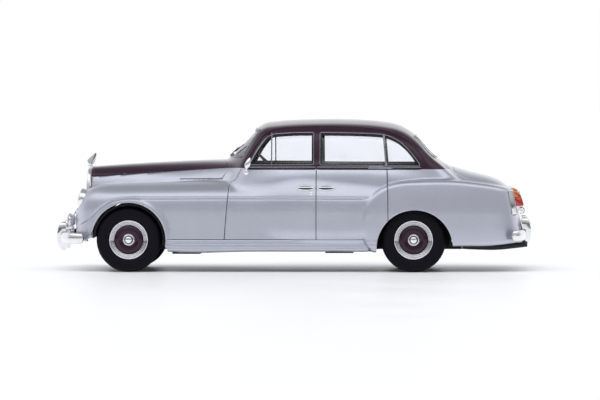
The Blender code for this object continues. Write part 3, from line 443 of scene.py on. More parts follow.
def see_through(name, tint, gloss=1.0, bump=None, frost=0.02):
    """Thin clear moulding: it passes what is behind it and mirrors by angle."""
    s = Surface(name, tint, frost)
    clear = s.node("BsdfTransparent", {"Color": (*tint, 1)})
    mirror = s.node("BsdfGlossy", {"Color": (1, 1, 1, 1), "Roughness": frost})
    rim = s.node("Fresnel", {"IOR": 1.45}).outputs[0]
    if bump:
        s.feed(mirror.inputs["Normal"], bump(s))
    smear = s.span(s.noise(6, 3), 0.4, 0.75, 0.0, 0.03)
    share = s.math("ADD", s.math("MULTIPLY", rim, gloss), smear)
    mixed = s.node("MixShader", {0: share, 1: clear.outputs[0], 2: mirror.outputs[0]})
    s.tree.links.new(mixed.outputs[0], s.output.inputs["Surface"])
    return s.material


def fluted(s):
    """Vertical lens flutes."""
    pitch = 0.9 * MM
    inputs = {"Vector": s.place(), "Scale": 1 / pitch / 20 * math.tau, "Distortion": 0.0}
    wave = s.node("TexWave", inputs, wave_type="BANDS", bands_direction="Y").outputs["Fac"]
    return s.bump(wave, 0.12, 0.8)


def lens(name, colour, painted_glow=0.0):
    """Solid tinted plastic with fine flutes, a wet gloss and a faint painted glow, though nothing lights it.
    """
    s = Surface(name, colour, 0.12, Coat_Weight=1.0, Coat_Roughness=0.03, Transmission_Weight=0.25,
                IOR=1.49)
    shade = s.noise(1.0, 2)
    # The emission is a painted glow: nothing lights the lens.
    s.set(Base_Color=s.blend(s.span(shade, 0.3, 0.7), tuple(0.75 * c for c in colour), colour),
          Normal=fluted(s), Emission_Color=(*colour, 1), Emission_Strength=painted_glow)
    return s.material


def leather():
    """Seat leather: pebbled grain and slightly uneven colour."""
    colour = (0.30, 0.19, 0.12)
    s = Surface("seat_leather", colour, 0.48)
    tone = s.noise(3.0, 4)
    pebble = s.cells(0.22, "Distance")
    s.set(Base_Color=s.blend(s.span(tone, 0.3, 0.75), colour, (0.36, 0.24, 0.16)),
          Roughness=s.span(tone, 0.3, 0.7, 0.42, 0.58), Normal=s.bump(pebble, 0.03, 0.5))
    return s.material


def veneer():
    """Walnut veneer under varnish."""
    s = Surface("walnut_veneer", (0.2, 0.09, 0.04), 0.3, Coat_Weight=0.8, Coat_Roughness=0.06)
    figure = s.noise(1.4, 5, 0.6, stretch=(4.0, 0.7, 3.0))
    s.set(Base_Color=s.blend(s.span(figure, 0.35, 0.65), (0.09, 0.035, 0.015), (0.30, 0.14, 0.06)),
          Normal=s.bump(figure, 0.01, 0.4))
    return s.material


def carpet():
    """Short dark pile."""
    s = Surface("tub_carpet", (0.03, 0.022, 0.022), 0.9)
    pile = s.noise(0.18, 4)
    s.set(Base_Color=s.blend(s.span(pile, 0.35, 0.7), (0.015, 0.011, 0.012), (0.05, 0.036, 0.034)),
          Normal=s.bump(pile, 0.12, 0.8))
    return s.material


def floor_material():
    """Smooth pale studio floor with a faint sheen."""
    s = Surface("studio_floor", (0.86, 0.865, 0.88), 0.35, Specular_IOR_Level=0.2)
    s.set(Roughness=s.span(s.noise(40, 2), 0.3, 0.7, 0.32, 0.4))
    return s.material


FINISH = {
    "body": body_paint(),
    "maroon": maroon_lacquer(),
    "chrome": chrome(),
    "satin_chrome": chrome("satin_chrome", 0.25, (0.34, 0.34, 0.37)),
    "rubber": rubber(),
    "chassis": moulded("chassis_black", (0.006, 0.006, 0.007), 0.6),
    "burnt": moulded("burnt_steel", (0.02, 0.02, 0.023), 0.4, 0.5, 0.03),
    "black": moulded("gloss_black", (0.010, 0.010, 0.012), 0.25, 0.4, 0.008),
    "steel": turned_steel(),
    "glass": see_through("window_clear", (0.98, 0.985, 0.995)),
    "lamp_glass": see_through("lamp_clear", (0.9, 0.93, 0.96), 1.6, fluted, 0.05),
    # The red and amber lenses get a faint painted glow.
    "red": lens("lens_red", (0.5, 0.014, 0.01), 0.05),
    "amber": lens("lens_amber", (0.62, 0.15, 0.025), 0.05),
    "leather": leather(),
    "veneer": veneer(),
    "carpet": carpet(),
    "dial": moulded("dial_cream", (0.7, 0.68, 0.6), 0.35),
}


# ---------------------------------------------------------------- meshes and pieces

def mesh_of(name, bm):
    """A new mesh, in metres, of bm, which is in millimetres and isn't used any more."""
    bmesh.ops.scale(bm, vec=(MM, MM, MM), verts=bm.verts)
    mesh = bpy.data.meshes.new(name)
    bm.to_mesh(mesh)
    bm.free()
    return mesh


def linked(name, data):
    """A new object in the scene."""
    obj = bpy.data.objects.new(name, data)
    bpy.context.scene.collection.objects.link(obj)
    return obj


def shown(name, node, mesh, finishes, body="body", sharp=35):
    """Shows a mesh as a piece that rides on a body, in place of a CAD node if there is one for it."""
    mesh.shade_smooth()
    if sharp:
        mesh.set_sharp_from_angle(angle=math.radians(sharp))
    for finish in finishes:
        mesh.materials.append(FINISH[finish])
    obj = linked(name, mesh)
    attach(obj, body)
    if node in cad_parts:
        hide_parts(node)


def piece(node, suffix, bm, *finishes, body="body", at=(0, 0, 0), turn=None, sharp=35):
    """Shows bm, in millimetres about the point at, as the piece for a node."""
    bmesh.ops.remove_doubles(bm, verts=bm.verts, dist=WELD)
    bmesh.ops.recalc_face_normals(bm, faces=bm.faces)
    if turn is not None:
        bmesh.ops.transform(bm, matrix=turn.to_4x4(), verts=bm.verts)
    bmesh.ops.translate(bm, vec=at, verts=bm.verts)
    name = node + suffix
    shown(name, node, mesh_of(name, bm), finishes, body, sharp)


def facing(s):
    """The turn that makes a shape whose outer face looks to +Y look out on side s."""
    return Matrix.Rotation(0 if s > 0 else math.pi, 3, "Z")


def quads(bm, rows, wrap_rows=False, wrap_columns=False, finish=None):
    """Fills a grid of vertices, given as rows, with faces. finish gives each column's material."""
    row_count, column_count = len(rows), len(rows[0])
    for i in range(row_count if wrap_rows else row_count - 1):
        a, b = rows[i], rows[(i + 1) % row_count]
        for j in range(column_count if wrap_columns else column_count - 1):
            k = (j + 1) % column_count
            face = bm.faces.new((a[j], a[k], b[k], b[j]))
            if finish is not None:
                face.material_index = finish[j]


def strip(loops, closed=False, bm=None, finish=0):
    """A solid through a row of closed loops, each an array of points: capped, or closed into a ring."""
    bm = bm or bmesh.new()
    rows = [[bm.verts.new(point) for point in loop] for loop in loops]
    quads(bm, rows, wrap_rows=closed, wrap_columns=True, finish=[finish] * len(rows[0]))
    if not closed:
        for end in (rows[0], rows[-1]):
            bm.faces.new(end).material_index = finish
    return bm


def turned(profile, steps, finish=None, bm=None, closed=True, radius_at=None):
    """A solid turned about the Y axis from a (radius, y) profile, whose radius may vary by angle."""
    bm = bm or bmesh.new()
    rows = []
    for i in range(steps):
        angle = math.tau * i / steps
        row = []
        for j, (radius, y) in enumerate(profile):
            r = radius if radius_at is None else radius_at(i, j, radius)
            row.append(bm.verts.new((r * math.cos(angle), y, r * math.sin(angle))))
        rows.append(row)
    quads(bm, rows, wrap_rows=True, wrap_columns=closed, finish=finish)
    bmesh.ops.remove_doubles(bm, verts=bm.verts, dist=FINE_WELD)
    return bm


def turned_at(bm, profile, steps, at, turn, finish=None):
    """Adds a turned shape to bm, its axis turned and its origin moved to at."""
    made = turned(profile, steps, finish, closed=False)
    bmesh.ops.recalc_face_normals(made, faces=made.faces)
    bmesh.ops.transform(made, matrix=turn.to_4x4(), verts=made.verts)
    bmesh.ops.translate(made, vec=at, verts=made.verts)
    mesh = bpy.data.meshes.new("part")
    made.to_mesh(mesh)
    made.free()
    bm.from_mesh(mesh)
    bpy.data.meshes.remove(mesh)
    return bm


def block(bm, size, at, bevel=0.2, finish=0):
    """Adds a box with rounded edges."""
    made = bmesh.ops.create_cube(bm, size=1)["verts"]
    bmesh.ops.scale(bm, vec=size, verts=made)
    edges = list({edge for vert in made for edge in vert.link_edges})
    rounds = bmesh.ops.bevel(bm, geom=edges, offset=bevel, segments=3, affect="EDGES", profile=0.5,
                             clamp_overlap=True)["faces"]
    island = {vert for face in rounds for vert in face.verts}
    grow = list(island)
    while grow:
        vert = grow.pop()
        for edge in vert.link_edges:
            other = edge.other_vert(vert)
            if other not in island:
                island.add(other)
                grow.append(other)
    for face in {face for vert in island for face in vert.link_faces}:
        face.material_index = finish
    bmesh.ops.translate(bm, vec=at, verts=list(island))
    return bm


def prism(outline, low, high, bm=None, finish=0):
    """A solid whose (x, z) outline runs straight across from y = low to y = high."""
    return strip([[(x, y, z) for x, z in outline] for y in (low, high)], bm=bm, finish=finish)


def upright(outline, low, high, bm=None):
    """A solid whose (x, y) outline runs straight up from z = low to z = high."""
    return strip([[(x, y, z) for x, y in outline] for z in (low, high)], bm=bm)


def lengthwise(outline, low, high, bm=None):
    """A solid whose (y, z) outline runs along the car from x = low to x = high."""
    return strip([[(x, y, z) for y, z in outline] for x in (low, high)], bm=bm)


def arc(centre, radius, start, end, steps):
    """Points of an arc, angles in degrees, first axis at 0 and second axis at 90."""
    return [(centre[0] + radius * math.cos(math.radians(start + (end - start) * i / steps)),
             centre[1] + radius * math.sin(math.radians(start + (end - start) * i / steps)))
            for i in range(steps + 1)]


def circle(radius, steps):
    """Points of a circle about the origin."""
    return arc((0, 0), radius, 0, 360 * (steps - 1) / steps, steps - 1)


def rounded(corners, steps=10):
    """A closed outline from (u, v, radius) corners, each rounded by a quadratic curve."""
    points = []
    count = len(corners)
    for i, (u, v, radius) in enumerate(corners):
        here = np.array((u, v), float)
        if not radius:
            points.append(tuple(here))
            continue
        ends = []
        for other in (corners[i - 1], corners[(i + 1) % count]):
            away = np.array(other[:2], float) - here
            ends.append(here + away * min(radius / np.linalg.norm(away), 0.5))
        for j in range(steps + 1):
            t = j / steps
            points.append(tuple((1 - t) ** 2 * ends[0] + 2 * t * (1 - t) * here + t * t * ends[1]))
    return points


def grown(outline, by):
    """A closed outline moved outwards by a distance, or inwards if it is negative."""
    points = np.array(outline, float)
    along = np.roll(points, -1, 0) - np.roll(points, 1, 0)
    out = np.stack([along[:, 1], -along[:, 0]], 1) / np.linalg.norm(along, axis=1)[:, None]
    turn = np.sum(points[:, 0] * np.roll(points[:, 1], -1) - np.roll(points[:, 0], -1) * points[:, 1])
    return points + out * by * np.sign(turn)


def divided(outline, spacing, closed=True):
    """An outline with points added so that none are further apart than spacing."""
    points = np.array(outline, float)
    result = []
    following = np.roll(points, -1, 0) if closed else points[1:]
    for here, there in zip(points, following):
        pieces = max(1, math.ceil(np.linalg.norm(there - here) / spacing))
        result += [here + (there - here) * i / pieces for i in range(pieces)]
    if not closed:
        result.append(points[-1])
    return np.array(result)


def smooth_path(points, spacing=0.3, rounds=2):
    """An open path through points, its corners eased by cutting them, at an even spacing."""
    path = np.array(points, float)
    for _ in range(rounds):
        middle = np.stack([path[:-1] * 0.75 + path[1:] * 0.25, path[:-1] * 0.25 + path[1:] * 0.75], 1)
        path = np.concatenate([path[:1], middle.reshape(-1, path.shape[1]), path[-1:]])
    return divided(path, spacing, closed=False)


def bead_section(width, height, base=0.0, steps=6):
    """A half-round section as (across, out) pairs, standing on a base line."""
    half, root = width / 2, base - 0.15
    dome = [(half * math.cos(a), base + height * math.sin(a)) for a in np.linspace(0, math.pi, steps + 1)]
    return dome + [(-half, root), (half, root)]


def slab_section(width, low, high):
    """A flat section as (across, out) pairs."""
    return [(width / 2, high), (-width / 2, high), (-width / 2, low), (width / 2, low)]


def sweep(points, normals, section, closed=False, size=None, bm=None, finish=0):
    """A section of (across, out) pairs carried along points on a surface with the given normals."""
    points, normals = np.asarray(points, float), np.asarray(normals, float)
    if closed:
        along = np.roll(points, -1, 0) - np.roll(points, 1, 0)
    else:
        along = np.gradient(points, axis=0)
    across = np.cross(along, normals)
    across /= np.maximum(np.linalg.norm(across, axis=1, keepdims=True), 1e-9)
    size = np.ones(len(points)) if size is None else np.asarray(size)
    loops = [[p + (a * u + n * v) * k for u, v in section]
             for p, n, a, k in zip(points, normals, across, size)]
    return strip(loops, closed, bm, finish)


def tapered(count, share=0.15, least=0.25):
    """Sizes for a sweep that narrows at both ends."""
    t = np.linspace(0, 1, count)
    return least + (1 - least) * np.sqrt(step(np.minimum(t, 1 - t) / share))


def on_side(path, side):
    """Surface points and normals for an (x, z) path on one side of the body."""
    points = side_point(*np.array(path, float).T, side)
    return points, outward(points)


def on_top(path):
    """Surface points and normals for an (x, y) path on top of the body."""
    points = top_point(*np.array(path, float).T)
    return points, outward(points)


def at_end(path, heading):
    """Surface points and normals for a (y, z) path on the front or rear of the cabin."""
    points = end_point(*np.array(path, float).T, heading)
    return points, outward(points)


# ---------------------------------------------------------------- body shell

# The body grid: (start, end, count) of its rows along the body and of its columns, in degrees above level.
# The column at CREASE_COLUMN is bent to follow the feature line.
ROW_ZONES = ((-40.0, -18.3, 44), (-18.3, -6.0, 34), (-6.0, 16.5, 40), (16.5, 24.0, 34), (24.0, 44.0, 44))
FAN_REACH = 20.0
COLUMN_ZONES = ((-90, -30, 12), (-30, -14, 10), (-14, -5, 26), (-5, 18, 22), (18, 26, 26), (26, 37, 30),
                (37, 52, 20), (52, 90, 20))
CREASE_COLUMN = 21.9


def zoned(zones, share):
    """Places through (start, end, count) zones, with count of them in each, times share."""
    places = [np.linspace(start, end, max(2, round(count * share)), endpoint=False)
              for start, end, count in zones]
    return np.concatenate(places + [[zones[-1][1]]])


def row_planes(share):
    """The (root x, lean) of each row: upright along the body, and leaning out at the nose and tail."""
    first, last = ROW_ZONES[0][0], ROW_ZONES[-1][1]
    nose = np.arctan((first - np.arange(-56.8, first, 0.42 / share)) / FAN_REACH)
    tail = np.arctan((np.arange(last, 57.5, 0.5 / share) - last) / FAN_REACH)[1:]
    face = math.radians(88)
    rows = [(first, -lean) for lean in np.linspace(face, nose[0], round(36 * share), endpoint=False)]
    rows += [(first, -lean) for lean in nose]
    rows += [(x, 0.0) for x in zoned(ROW_ZONES, share)]
    rows += [(last, lean) for lean in tail]
    rows += [(last, lean) for lean in np.linspace(tail[-1], face, round(34 * share) + 1)[1:]]
    return np.array(rows)


def body_grid(share=1.0, shrink=0.0):
    """Half of the body surface as a grid: rows from nose to tail, columns from keel to roof."""
    root, lean = row_planes(share).T
    theta = np.tile(zoned(COLUMN_ZONES, share), (len(root), 1))
    start = np.stack([root, 0 * root, 0 * root + CENTRE_Z], -1)[:, None, :]

    def surface(degrees, lift=0.0):
        turn = np.radians(degrees)
        ahead = np.broadcast_to(np.sin(lean)[:, None], turn.shape)
        out = np.cos(lean)[:, None]
        return on_body(start, np.stack([ahead, -out * np.cos(turn), out * np.sin(turn)], -1), lift)

    guide = surface(np.full((len(root), 1), CREASE_COLUMN))[:, 0]
    crease = np.degrees(np.arctan2(crease_height(guide[:, 0]) - CENTRE_Z, -guide[:, 1]))
    crease = np.where(guide[:, 0] > 20, CREASE_COLUMN, np.maximum(crease, 1.0))
    reach = np.where(theta < CREASE_COLUMN, CREASE_COLUMN + 5, 44 - CREASE_COLUMN)
    pull = np.maximum(1 - np.abs(theta - CREASE_COLUMN) / reach, 0)
    return surface(theta + (crease - CREASE_COLUMN)[:, None] * pull, -shrink)


def hull_mesh(name, share=1.0, shrink=0.0):
    """The closed body volume as a mesh, its surface moved inwards by shrink."""
    half = body_grid(share, shrink)
    half[:, (0, -1), 1] = 0
    points = np.concatenate([half, half[:, -2:0:-1] * (1, -1, 1)], 1)
    rows, columns = points.shape[:2]
    index = np.arange(rows * columns).reshape(rows, columns)
    beside = np.roll(index, -1, 1)
    faces = np.stack([index[:-1], index[1:], beside[1:], beside[:-1]], -1).reshape(-1, 4).tolist()
    faces += [index[0].tolist(), index[-1][::-1].tolist()]
    mesh = bpy.data.meshes.new(name)
    mesh.from_pydata((points.reshape(-1, 3) * MM).tolist(), [], faces)
    bm = bmesh.new()
    bm.from_mesh(mesh)
    bmesh.ops.recalc_face_normals(bm, faces=bm.faces)
    bm.to_mesh(mesh)
    bm.free()
    return mesh


def cutter(name, bm):
    """A helper mesh in metres for a Boolean."""
    bmesh.ops.recalc_face_normals(bm, faces=bm.faces)
    return mesh_of(name, bm)


def carve(mesh, cutters):
    """mesh with the cutter meshes taken out of it, one after the other."""
    target = linked("carved", mesh)
    helpers = [linked(shape.name, shape) for shape in cutters]
    for helper in helpers:
        modifier = target.modifiers.new(helper.name, "BOOLEAN")
        modifier.operation = "DIFFERENCE"
        modifier.object = helper
        modifier.solver = "MANIFOLD"
    bpy.context.view_layer.update()
    evaluated = target.evaluated_get(bpy.context.evaluated_depsgraph_get())
    result = bpy.data.meshes.new_from_object(evaluated)
    result.materials.clear()
    for obj in helpers + [target]:
        bpy.data.objects.remove(obj)
    return result


def mirrored(half):
    """A closed plan outline from its +Y half."""
    return half + [(x, -y) for x, y in reversed(half)]


FRONT_ARCH_OUTLINE = arc(FRONT_ARCH[:2], FRONT_ARCH[2], -10, 165, 60)
FRONT_ARCH_OUTLINE += [(-54.6, 7.6), (-55.4, -8), (-32.9, -8), (-32.9, 6)]
REAR_ARCH_OUTLINE = arc(REAR_ARCH[:2], REAR_ARCH[2], 5, 180, 60) + [(22.0, 5.6), (21.9, -8), (42.1, -8)]
FRONT_WINDOW = rounded([(-11.4, 28.3, 0.5), (-9.0, 32.6, 1.5), (-6.3, 36.1, 2.0), (0, 36.6, 3),
                        (5.4, 36.6, 0.4), (5.4, 28.3, 0.4)])
REAR_WINDOW = rounded([(7.2, 28.2, 0.4), (7.2, 36.6, 0.4), (17.0, 36.5, 4), (24.4, 36.1, 2), (27.8, 34.6, 2),
                       (30.6, 32.0, 2), (32.4, 29.6, 1.5), (33.6, 28.0, 0.8)])
BELLY = [(-54.6, 10.5), (-52.8, 19.0), (42.3, 19.0), (46.0, 16.3), (53.0, 15.0), (57.2, 11.4)]
SIDE_GLAZING = rounded([(-10.9, 28.3, 0.5), (-8.6, 32.4, 1.5), (-6.1, 35.8, 2.0), (0, 36.0, 3),
                        (17.0, 35.9, 4), (24.2, 35.5, 2), (27.4, 34.1, 2), (30.1, 31.6, 2),
                        (32.9, 28.3, 0.8)])
WINDSCREEN = rounded([(-15.1, 30.3, 1.6), (-13.4, 37.4, 2.2), (13.4, 37.4, 2.2), (15.1, 30.3, 1.6)])
REAR_SCREEN = rounded([(-12.2, 30.1, 1.8), (-10.6, 35.6, 2.6), (10.6, 35.6, 2.6), (12.2, 30.1, 1.8)])
TAIL_LAMP = rounded([(57.5, 15.0, 0.5), (56.5, 21.7, 0.8), (59.6, 21.1, 1.4), (60.9, 17.2, 1.0),
                     (60.9, 15.0, 0.8)])

# The height of the line between the two colours.
PAINT_SPLIT = [(-60, 24.45), (-53, 24.9), (-17.8, 27.3), (-13.7, 27.4), (-11, 27.2), (60, 27.0)]
# Panel gaps as (x, z) paths on the side, in groups that don't touch one another.
SIDE_LINES = (
    {"bonnet_side": [(-53.3, 24.88), (-17.2, 27.34)],
     "scuttle": [(-13.6, 27.1), (-15.1, 24.3)],
     "door_foot": [(-33.0, 8.6), (18.9, 8.6)],
     "sill": [(-33.0, 6.33), (20.0, 6.33)]},
    {"wing_top": [(-30.0, 24.4), (-18.9, 24.5)],
     "door_front": [(-15.1, 24.3), (-16.4, 23.8), (-16.8, 22.9), (-17.1, 19.4), (-17.5, 15.5), (-18.0, 8.6)],
     "door_middle": [(6.2, 27.2), (6.2, 8.6)],
     "door_rear": [(24.8, 27.0), (25.0, 22.0), (25.1, 12.4)]},
    {"bonnet_rear": [(-17.05, 27.5), (-18.9, 24.4)]},
)
LINE_WIDTH, LINE_DEPTH = 0.17, 0.3


def shut_lines():
    """Ribbon cutters along every panel gap, one mesh for each group."""
    section = slab_section(LINE_WIDTH, -LINE_DEPTH, 0.5)
    boot = smooth_path([(57.4, -11.0), (50.0, -11.6), (43.4, -12.0), (42.0, -10.6), (42.0, 10.6),
                        (43.4, 12.0), (50.0, 11.6), (57.4, 11.0)], 0.35)
    across = np.linspace(-12.9, 12.9, 60)
    bonnet = np.stack([-19.0 + 1.9 * (across / 13) ** 2, across], 1)
    for lines, top in zip(SIDE_LINES, (boot, bonnet, None)):
        bm = bmesh.new()
        for path in lines.values():
            for s in SIDES.values():
                sweep(*on_side(smooth_path(path, 0.35), s), section, bm=bm)
        if top is not None:
            sweep(*on_top(top), section, bm=bm)
        yield cutter("shut_lines", bm)


def openings():
    """Cutters for the cavity, wheel arches, windows and lamp seats."""
    yield hull_mesh("cavity", 0.3, WALL)
    bm = bmesh.new()
    for s in SIDES.values():
        for outline in (FRONT_ARCH_OUTLINE, REAR_ARCH_OUTLINE, FRONT_WINDOW, REAR_WINDOW):
            prism(outline, *sorted((s * 10.0, s * 26.0)), bm=bm)
        prism(grown(TAIL_LAMP, 0.06), s * TAIL_LAMP_Y - 1.36, s * TAIL_LAMP_Y + 1.36, bm=bm)
    yield cutter("side_openings", bm)
    bm = upright(mirrored(BELLY), -3, 11.6)
    lengthwise(WINDSCREEN, -26, -5, bm=bm)
    lengthwise(REAR_SCREEN, 29, 46, bm=bm)
    for s in SIDES.values():
        seat = [(0, -1.75), (2.1, -1.75), (2.66, -1.7), (2.94, 0.6), (3.02, 1.8), (3.02, 4.0), (0, 4.0)]
        lamp_mesh(seat, *headlamp(s), 64, bm=bm)
    yield cutter("end_openings", bm)


def true_normals(mesh):
    """Gives the outer skin the normals of the body surface, and leaves all other faces flat."""
    points = np.empty(len(mesh.vertices) * 3, np.float32)
    mesh.vertices.foreach_get("co", points)
    points = points.reshape(-1, 3).astype(float) / MM
    depth = body_field(*points.T)
    skin = outward(points)
    corner = np.empty(len(mesh.loops), np.int32)
    mesh.loops.foreach_get("vertex_index", corner)
    count = np.empty(len(mesh.polygons), np.int32)
    mesh.polygons.foreach_get("loop_total", count)
    flat = np.empty(len(mesh.polygons) * 3, np.float32)
    mesh.polygons.foreach_get("normal", flat)
    flat = np.repeat(flat.reshape(-1, 3), count, axis=0)
    outer = (np.abs(depth[corner]) < 0.03) & (np.sum(flat * skin[corner], 1) > 0.75)
    mesh.normals_split_custom_set(np.where(outer[:, None], skin[corner], flat).tolist())
    return points, depth


def body_attributes(mesh, points, depth):
    """Stores how far each point lies above the paint split, and how deep below the skin it is."""
    x, y, z = points.T
    place, height = np.array(PAINT_SPLIT).T
    above = z - np.interp(x, place, height)
    cabin = lower_body(x, y, z) - greenhouse(x, y, z) + 0.25
    above = np.where(x > 20, np.minimum(above, cabin), above)
    for name, values in (("above_split", above), ("depth", -depth)):
        mesh.attributes.new(name, "FLOAT", "POINT").data.foreach_set("value", values.astype(np.float32))


def make_body():
    """The casting: the hull less its cavity, openings and panel gaps."""
    share = 1.0
    mesh = carve(hull_mesh("body", share), [*openings(), *shut_lines()])
    body_attributes(mesh, *true_normals(mesh))
    mesh.name = "body_shell_paint"
    shown(mesh.name, "body_shell", mesh, ["body"], sharp=0)


# ---------------------------------------------------------------- wheels and chassis

def tyre_profile():
    """The (radius, y) section of a tyre from its outer bead over the tread to its inner bead."""
    half = [(4.95, 0.95)]
    for r in np.linspace(5.02, 8.08, 34):
        bow = 0.04 + 0.5 * abs((r - 6.85) / 1.85) ** 2.4
        ribs = sum(math.exp(-((r - at) / 0.06) ** 2) for at in (5.6, 7.55, 7.8))
        half.append((r, bow - 0.06 * ribs))
    half += [(WHEEL_R - 0.42 + 0.42 * math.sin(a), 1.2 - 0.72 * math.cos(a))
             for a in np.linspace(0.25, 1.57, 7)]
    for rib in range(3):
        start = 1.3 + rib * 0.42
        half += [(WHEEL_R, start), (WHEEL_R, start + 0.3), (WHEEL_R - 0.14, start + 0.33),
                 (WHEEL_R - 0.14, start + 0.39)]
    middle = TYRE_W / 2
    half = [(r, d) for r, d in half if d < middle - 0.02]
    return [(r, -FACE_Y + d) for r, d in half] + [(r, -FACE_Y + TYRE_W - d) for r, d in reversed(half)]


def sipes(i, j, radius):
    """The tyre's radius with slots cut in its tread, staggered from rib to rib."""
    cut = radius > WHEEL_R - 0.05 and (i + (j // 4) * 2) % 4 == 0
    return radius - 0.11 * cut


def rim_profile():
    """The plated wheel trim: a rolled lip and a dish of fine rings. Some of the rings are dark satin, which
    paints dark reflection lines on them.
    """
    roll, edge = 0.13, 4.84
    lip = [(RIM_R - roll + roll * math.cos(a), 0.33 - roll * math.sin(a)) for a in np.linspace(-0.6, 3.0, 12)]
    dish = [(r, 0.4 + 0.92 * (edge - r) + 0.03 * math.cos((edge - r) * math.tau / 0.27))
            for r in np.linspace(edge, 3.72, 44)]
    back = [(3.62, 1.5), (0.9, 1.5), (0.9, 3.6), (1.7, 3.6), (1.7, 2.4), (4.3, 2.4), (4.85, 3.6), (4.93, 3.6),
            (4.93, 0.75)]
    points = [(r, -FACE_Y + d) for r, d in lip + dish + back]
    # Two bands of rings take the dark satin finish: painted dark reflection rings.
    return points, [int(4.6 < r < 4.74 or 3.7 < r < 3.86) for r, _ in points]


def cover_profile():
    """The painted disc with its plated hub cap, and each segment's finish: 0 paint, 1 chrome, 2 black. The
    black is painted shade in the gap round the cap.
    """
    disc = [(0, 1.47), (3.6, 1.47), (3.66, 1.3), (3.6, 1.12), (3.3, 0.98), (2.85, 0.86), (2.5, 0.84),
            (2.1, 0.94), (1.6, 0.94)]
    ring = [(1.52, 0.86), (1.5, 0.5), (1.44, 0.36), (1.36, 0.3), (1.24, 0.3), (1.16, 0.36), (1.12, 0.5)]
    # The gap round the cap is finished black: painted shade.
    gap = [(1.04, 0.55), (0.98, 0.45)]
    cap = [(0.94, 0.0), (0.9, -0.3), (0.82, -0.42), (0.7, -0.5), (0.5, -0.56), (0.3, -0.59), (0, -0.6)]
    points = disc + ring + gap + cap
    finish = [0] * (len(disc) - 1) + [1] * len(ring) + [2] * len(gap) + [1] * (len(cap) + 1)
    return [(r, -FACE_Y + d) for r, d in points], finish[:len(points)]


def make_wheel(axle, side):
    """A tyre, its plated rim and its painted cover, which turn with the axle."""
    tag = f"{axle}_{side}"
    place = {"body": f"{axle}_wheelset", "at": (AXLE_X[axle], 0, WHEEL_Z), "turn": facing(-SIDES[side])}
    piece(f"tyre_{tag}", "_rubber", turned(tyre_profile(), 192, radius_at=sipes), "rubber", **place)
    profile, finish = rim_profile()
    piece(f"rim_{tag}", "_plated", turned(profile, 128, finish), "chrome", "satin_chrome", sharp=50, **place)
    profile, finish = cover_profile()
    cover = turned(profile, 96, finish, closed=False)
    piece(f"wheel_cover_{tag}", "_painted", cover, "maroon", "chrome", "black", sharp=40, **place)


def make_running_gear():
    """Two axles with chamfered ends and a slightly thinner middle, and their wheels."""
    half, radius = FACE_Y - 1.55, 0.75
    ends = [(radius - 0.15, half), (radius, half - 0.3), (radius, half - 2.6), (radius - 0.06, half - 2.7)]
    profile = [(0, -half)] + [(r, -y) for r, y in ends] + [(r, y) for r, y in reversed(ends)] + [(0, half)]
    for axle, x in AXLE_X.items():
        piece(f"{axle}_axle", "_steel", turned(profile, 48, closed=False), "steel", body=f"{axle}_wheelset",
              at=(x, 0, WHEEL_Z))
        for side in SIDES:
            make_wheel(axle, side)


def make_exhaust():
    """The tail pipe behind the rear axle, which dips under the tail and rises to its open end."""
    path = smooth_path([(44.56, 6.6, 0.72), (46, 6.58, 0.78), (50, 6.42, 0.8), (54, 6.38, 0.8),
                        (58, 6.75, 0.74), (61.8, 7.2, 0.72)], 0.5)

    def ring(x, z, radius, share):
        return [(x, EXHAUST_Y + radius * a, z + radius * b) for a, b in circle(share, 28)]

    pipe = [ring(*point, 1) for point in path]
    bore = [ring(*point, 0.72) for point in path[:-8:-1]]
    piece("exhaust", "_pipe", strip(pipe + bore), "burnt")


def make_screws():
    """Two base screws, each with a cross recess in its head and a long shank."""
    profile = [(0, 0.35), (0.55, 0.35), (0.55, 0), (1.35, 0), (1.6, 0.1), (1.7, 0.3), (1.7, 0.8), (0.8, 0.84),
               (0.8, 7.8), (0.4, 8.6), (0, 8.6)]

    def cross(i, j, radius):
        """Draws the recess walls in between the four arms of the cross."""
        return 0.22 if j in (1, 2) and i % 12 not in (0, 1, 11) else radius

    for node in ("base_screw_front", "base_screw_rear"):
        low, high = cad(node)
        piece(node, "_head", turned(profile, 48, closed=False, radius_at=cross), "steel",
              at=((low[0] + high[0]) / 2, 0, low[2]), turn=Matrix.Rotation(math.pi / 2, 3, "X"))


# ---------------------------------------------------------------- interior

def bench(node, section, half_width, pitch):
    """A bench seat: its (x, z) section carried across, with pleats at a pitch and rolled edges."""
    outline = divided(rounded(section, 8), 0.45)
    centre = outline.mean(0)
    loops = []
    for y in np.linspace(-half_width, half_width, 181):
        edge = 1 - abs(y) / half_width
        shrink = 1 - 0.22 * (1 - min(1, edge / 0.05)) ** 2
        pleat = 0.14 * abs(math.cos(y * math.pi / pitch)) ** 0.5 if edge > 0.12 else 0.05
        pleat *= step(np.array(abs(abs(y) - half_width / 2) / 0.5))
        loops.append([(x, y, z) for x, z in grown(centre + (outline - centre) * shrink, pleat - 0.14)])
    piece(node, "_pleated", strip(loops), "leather", sharp=55)


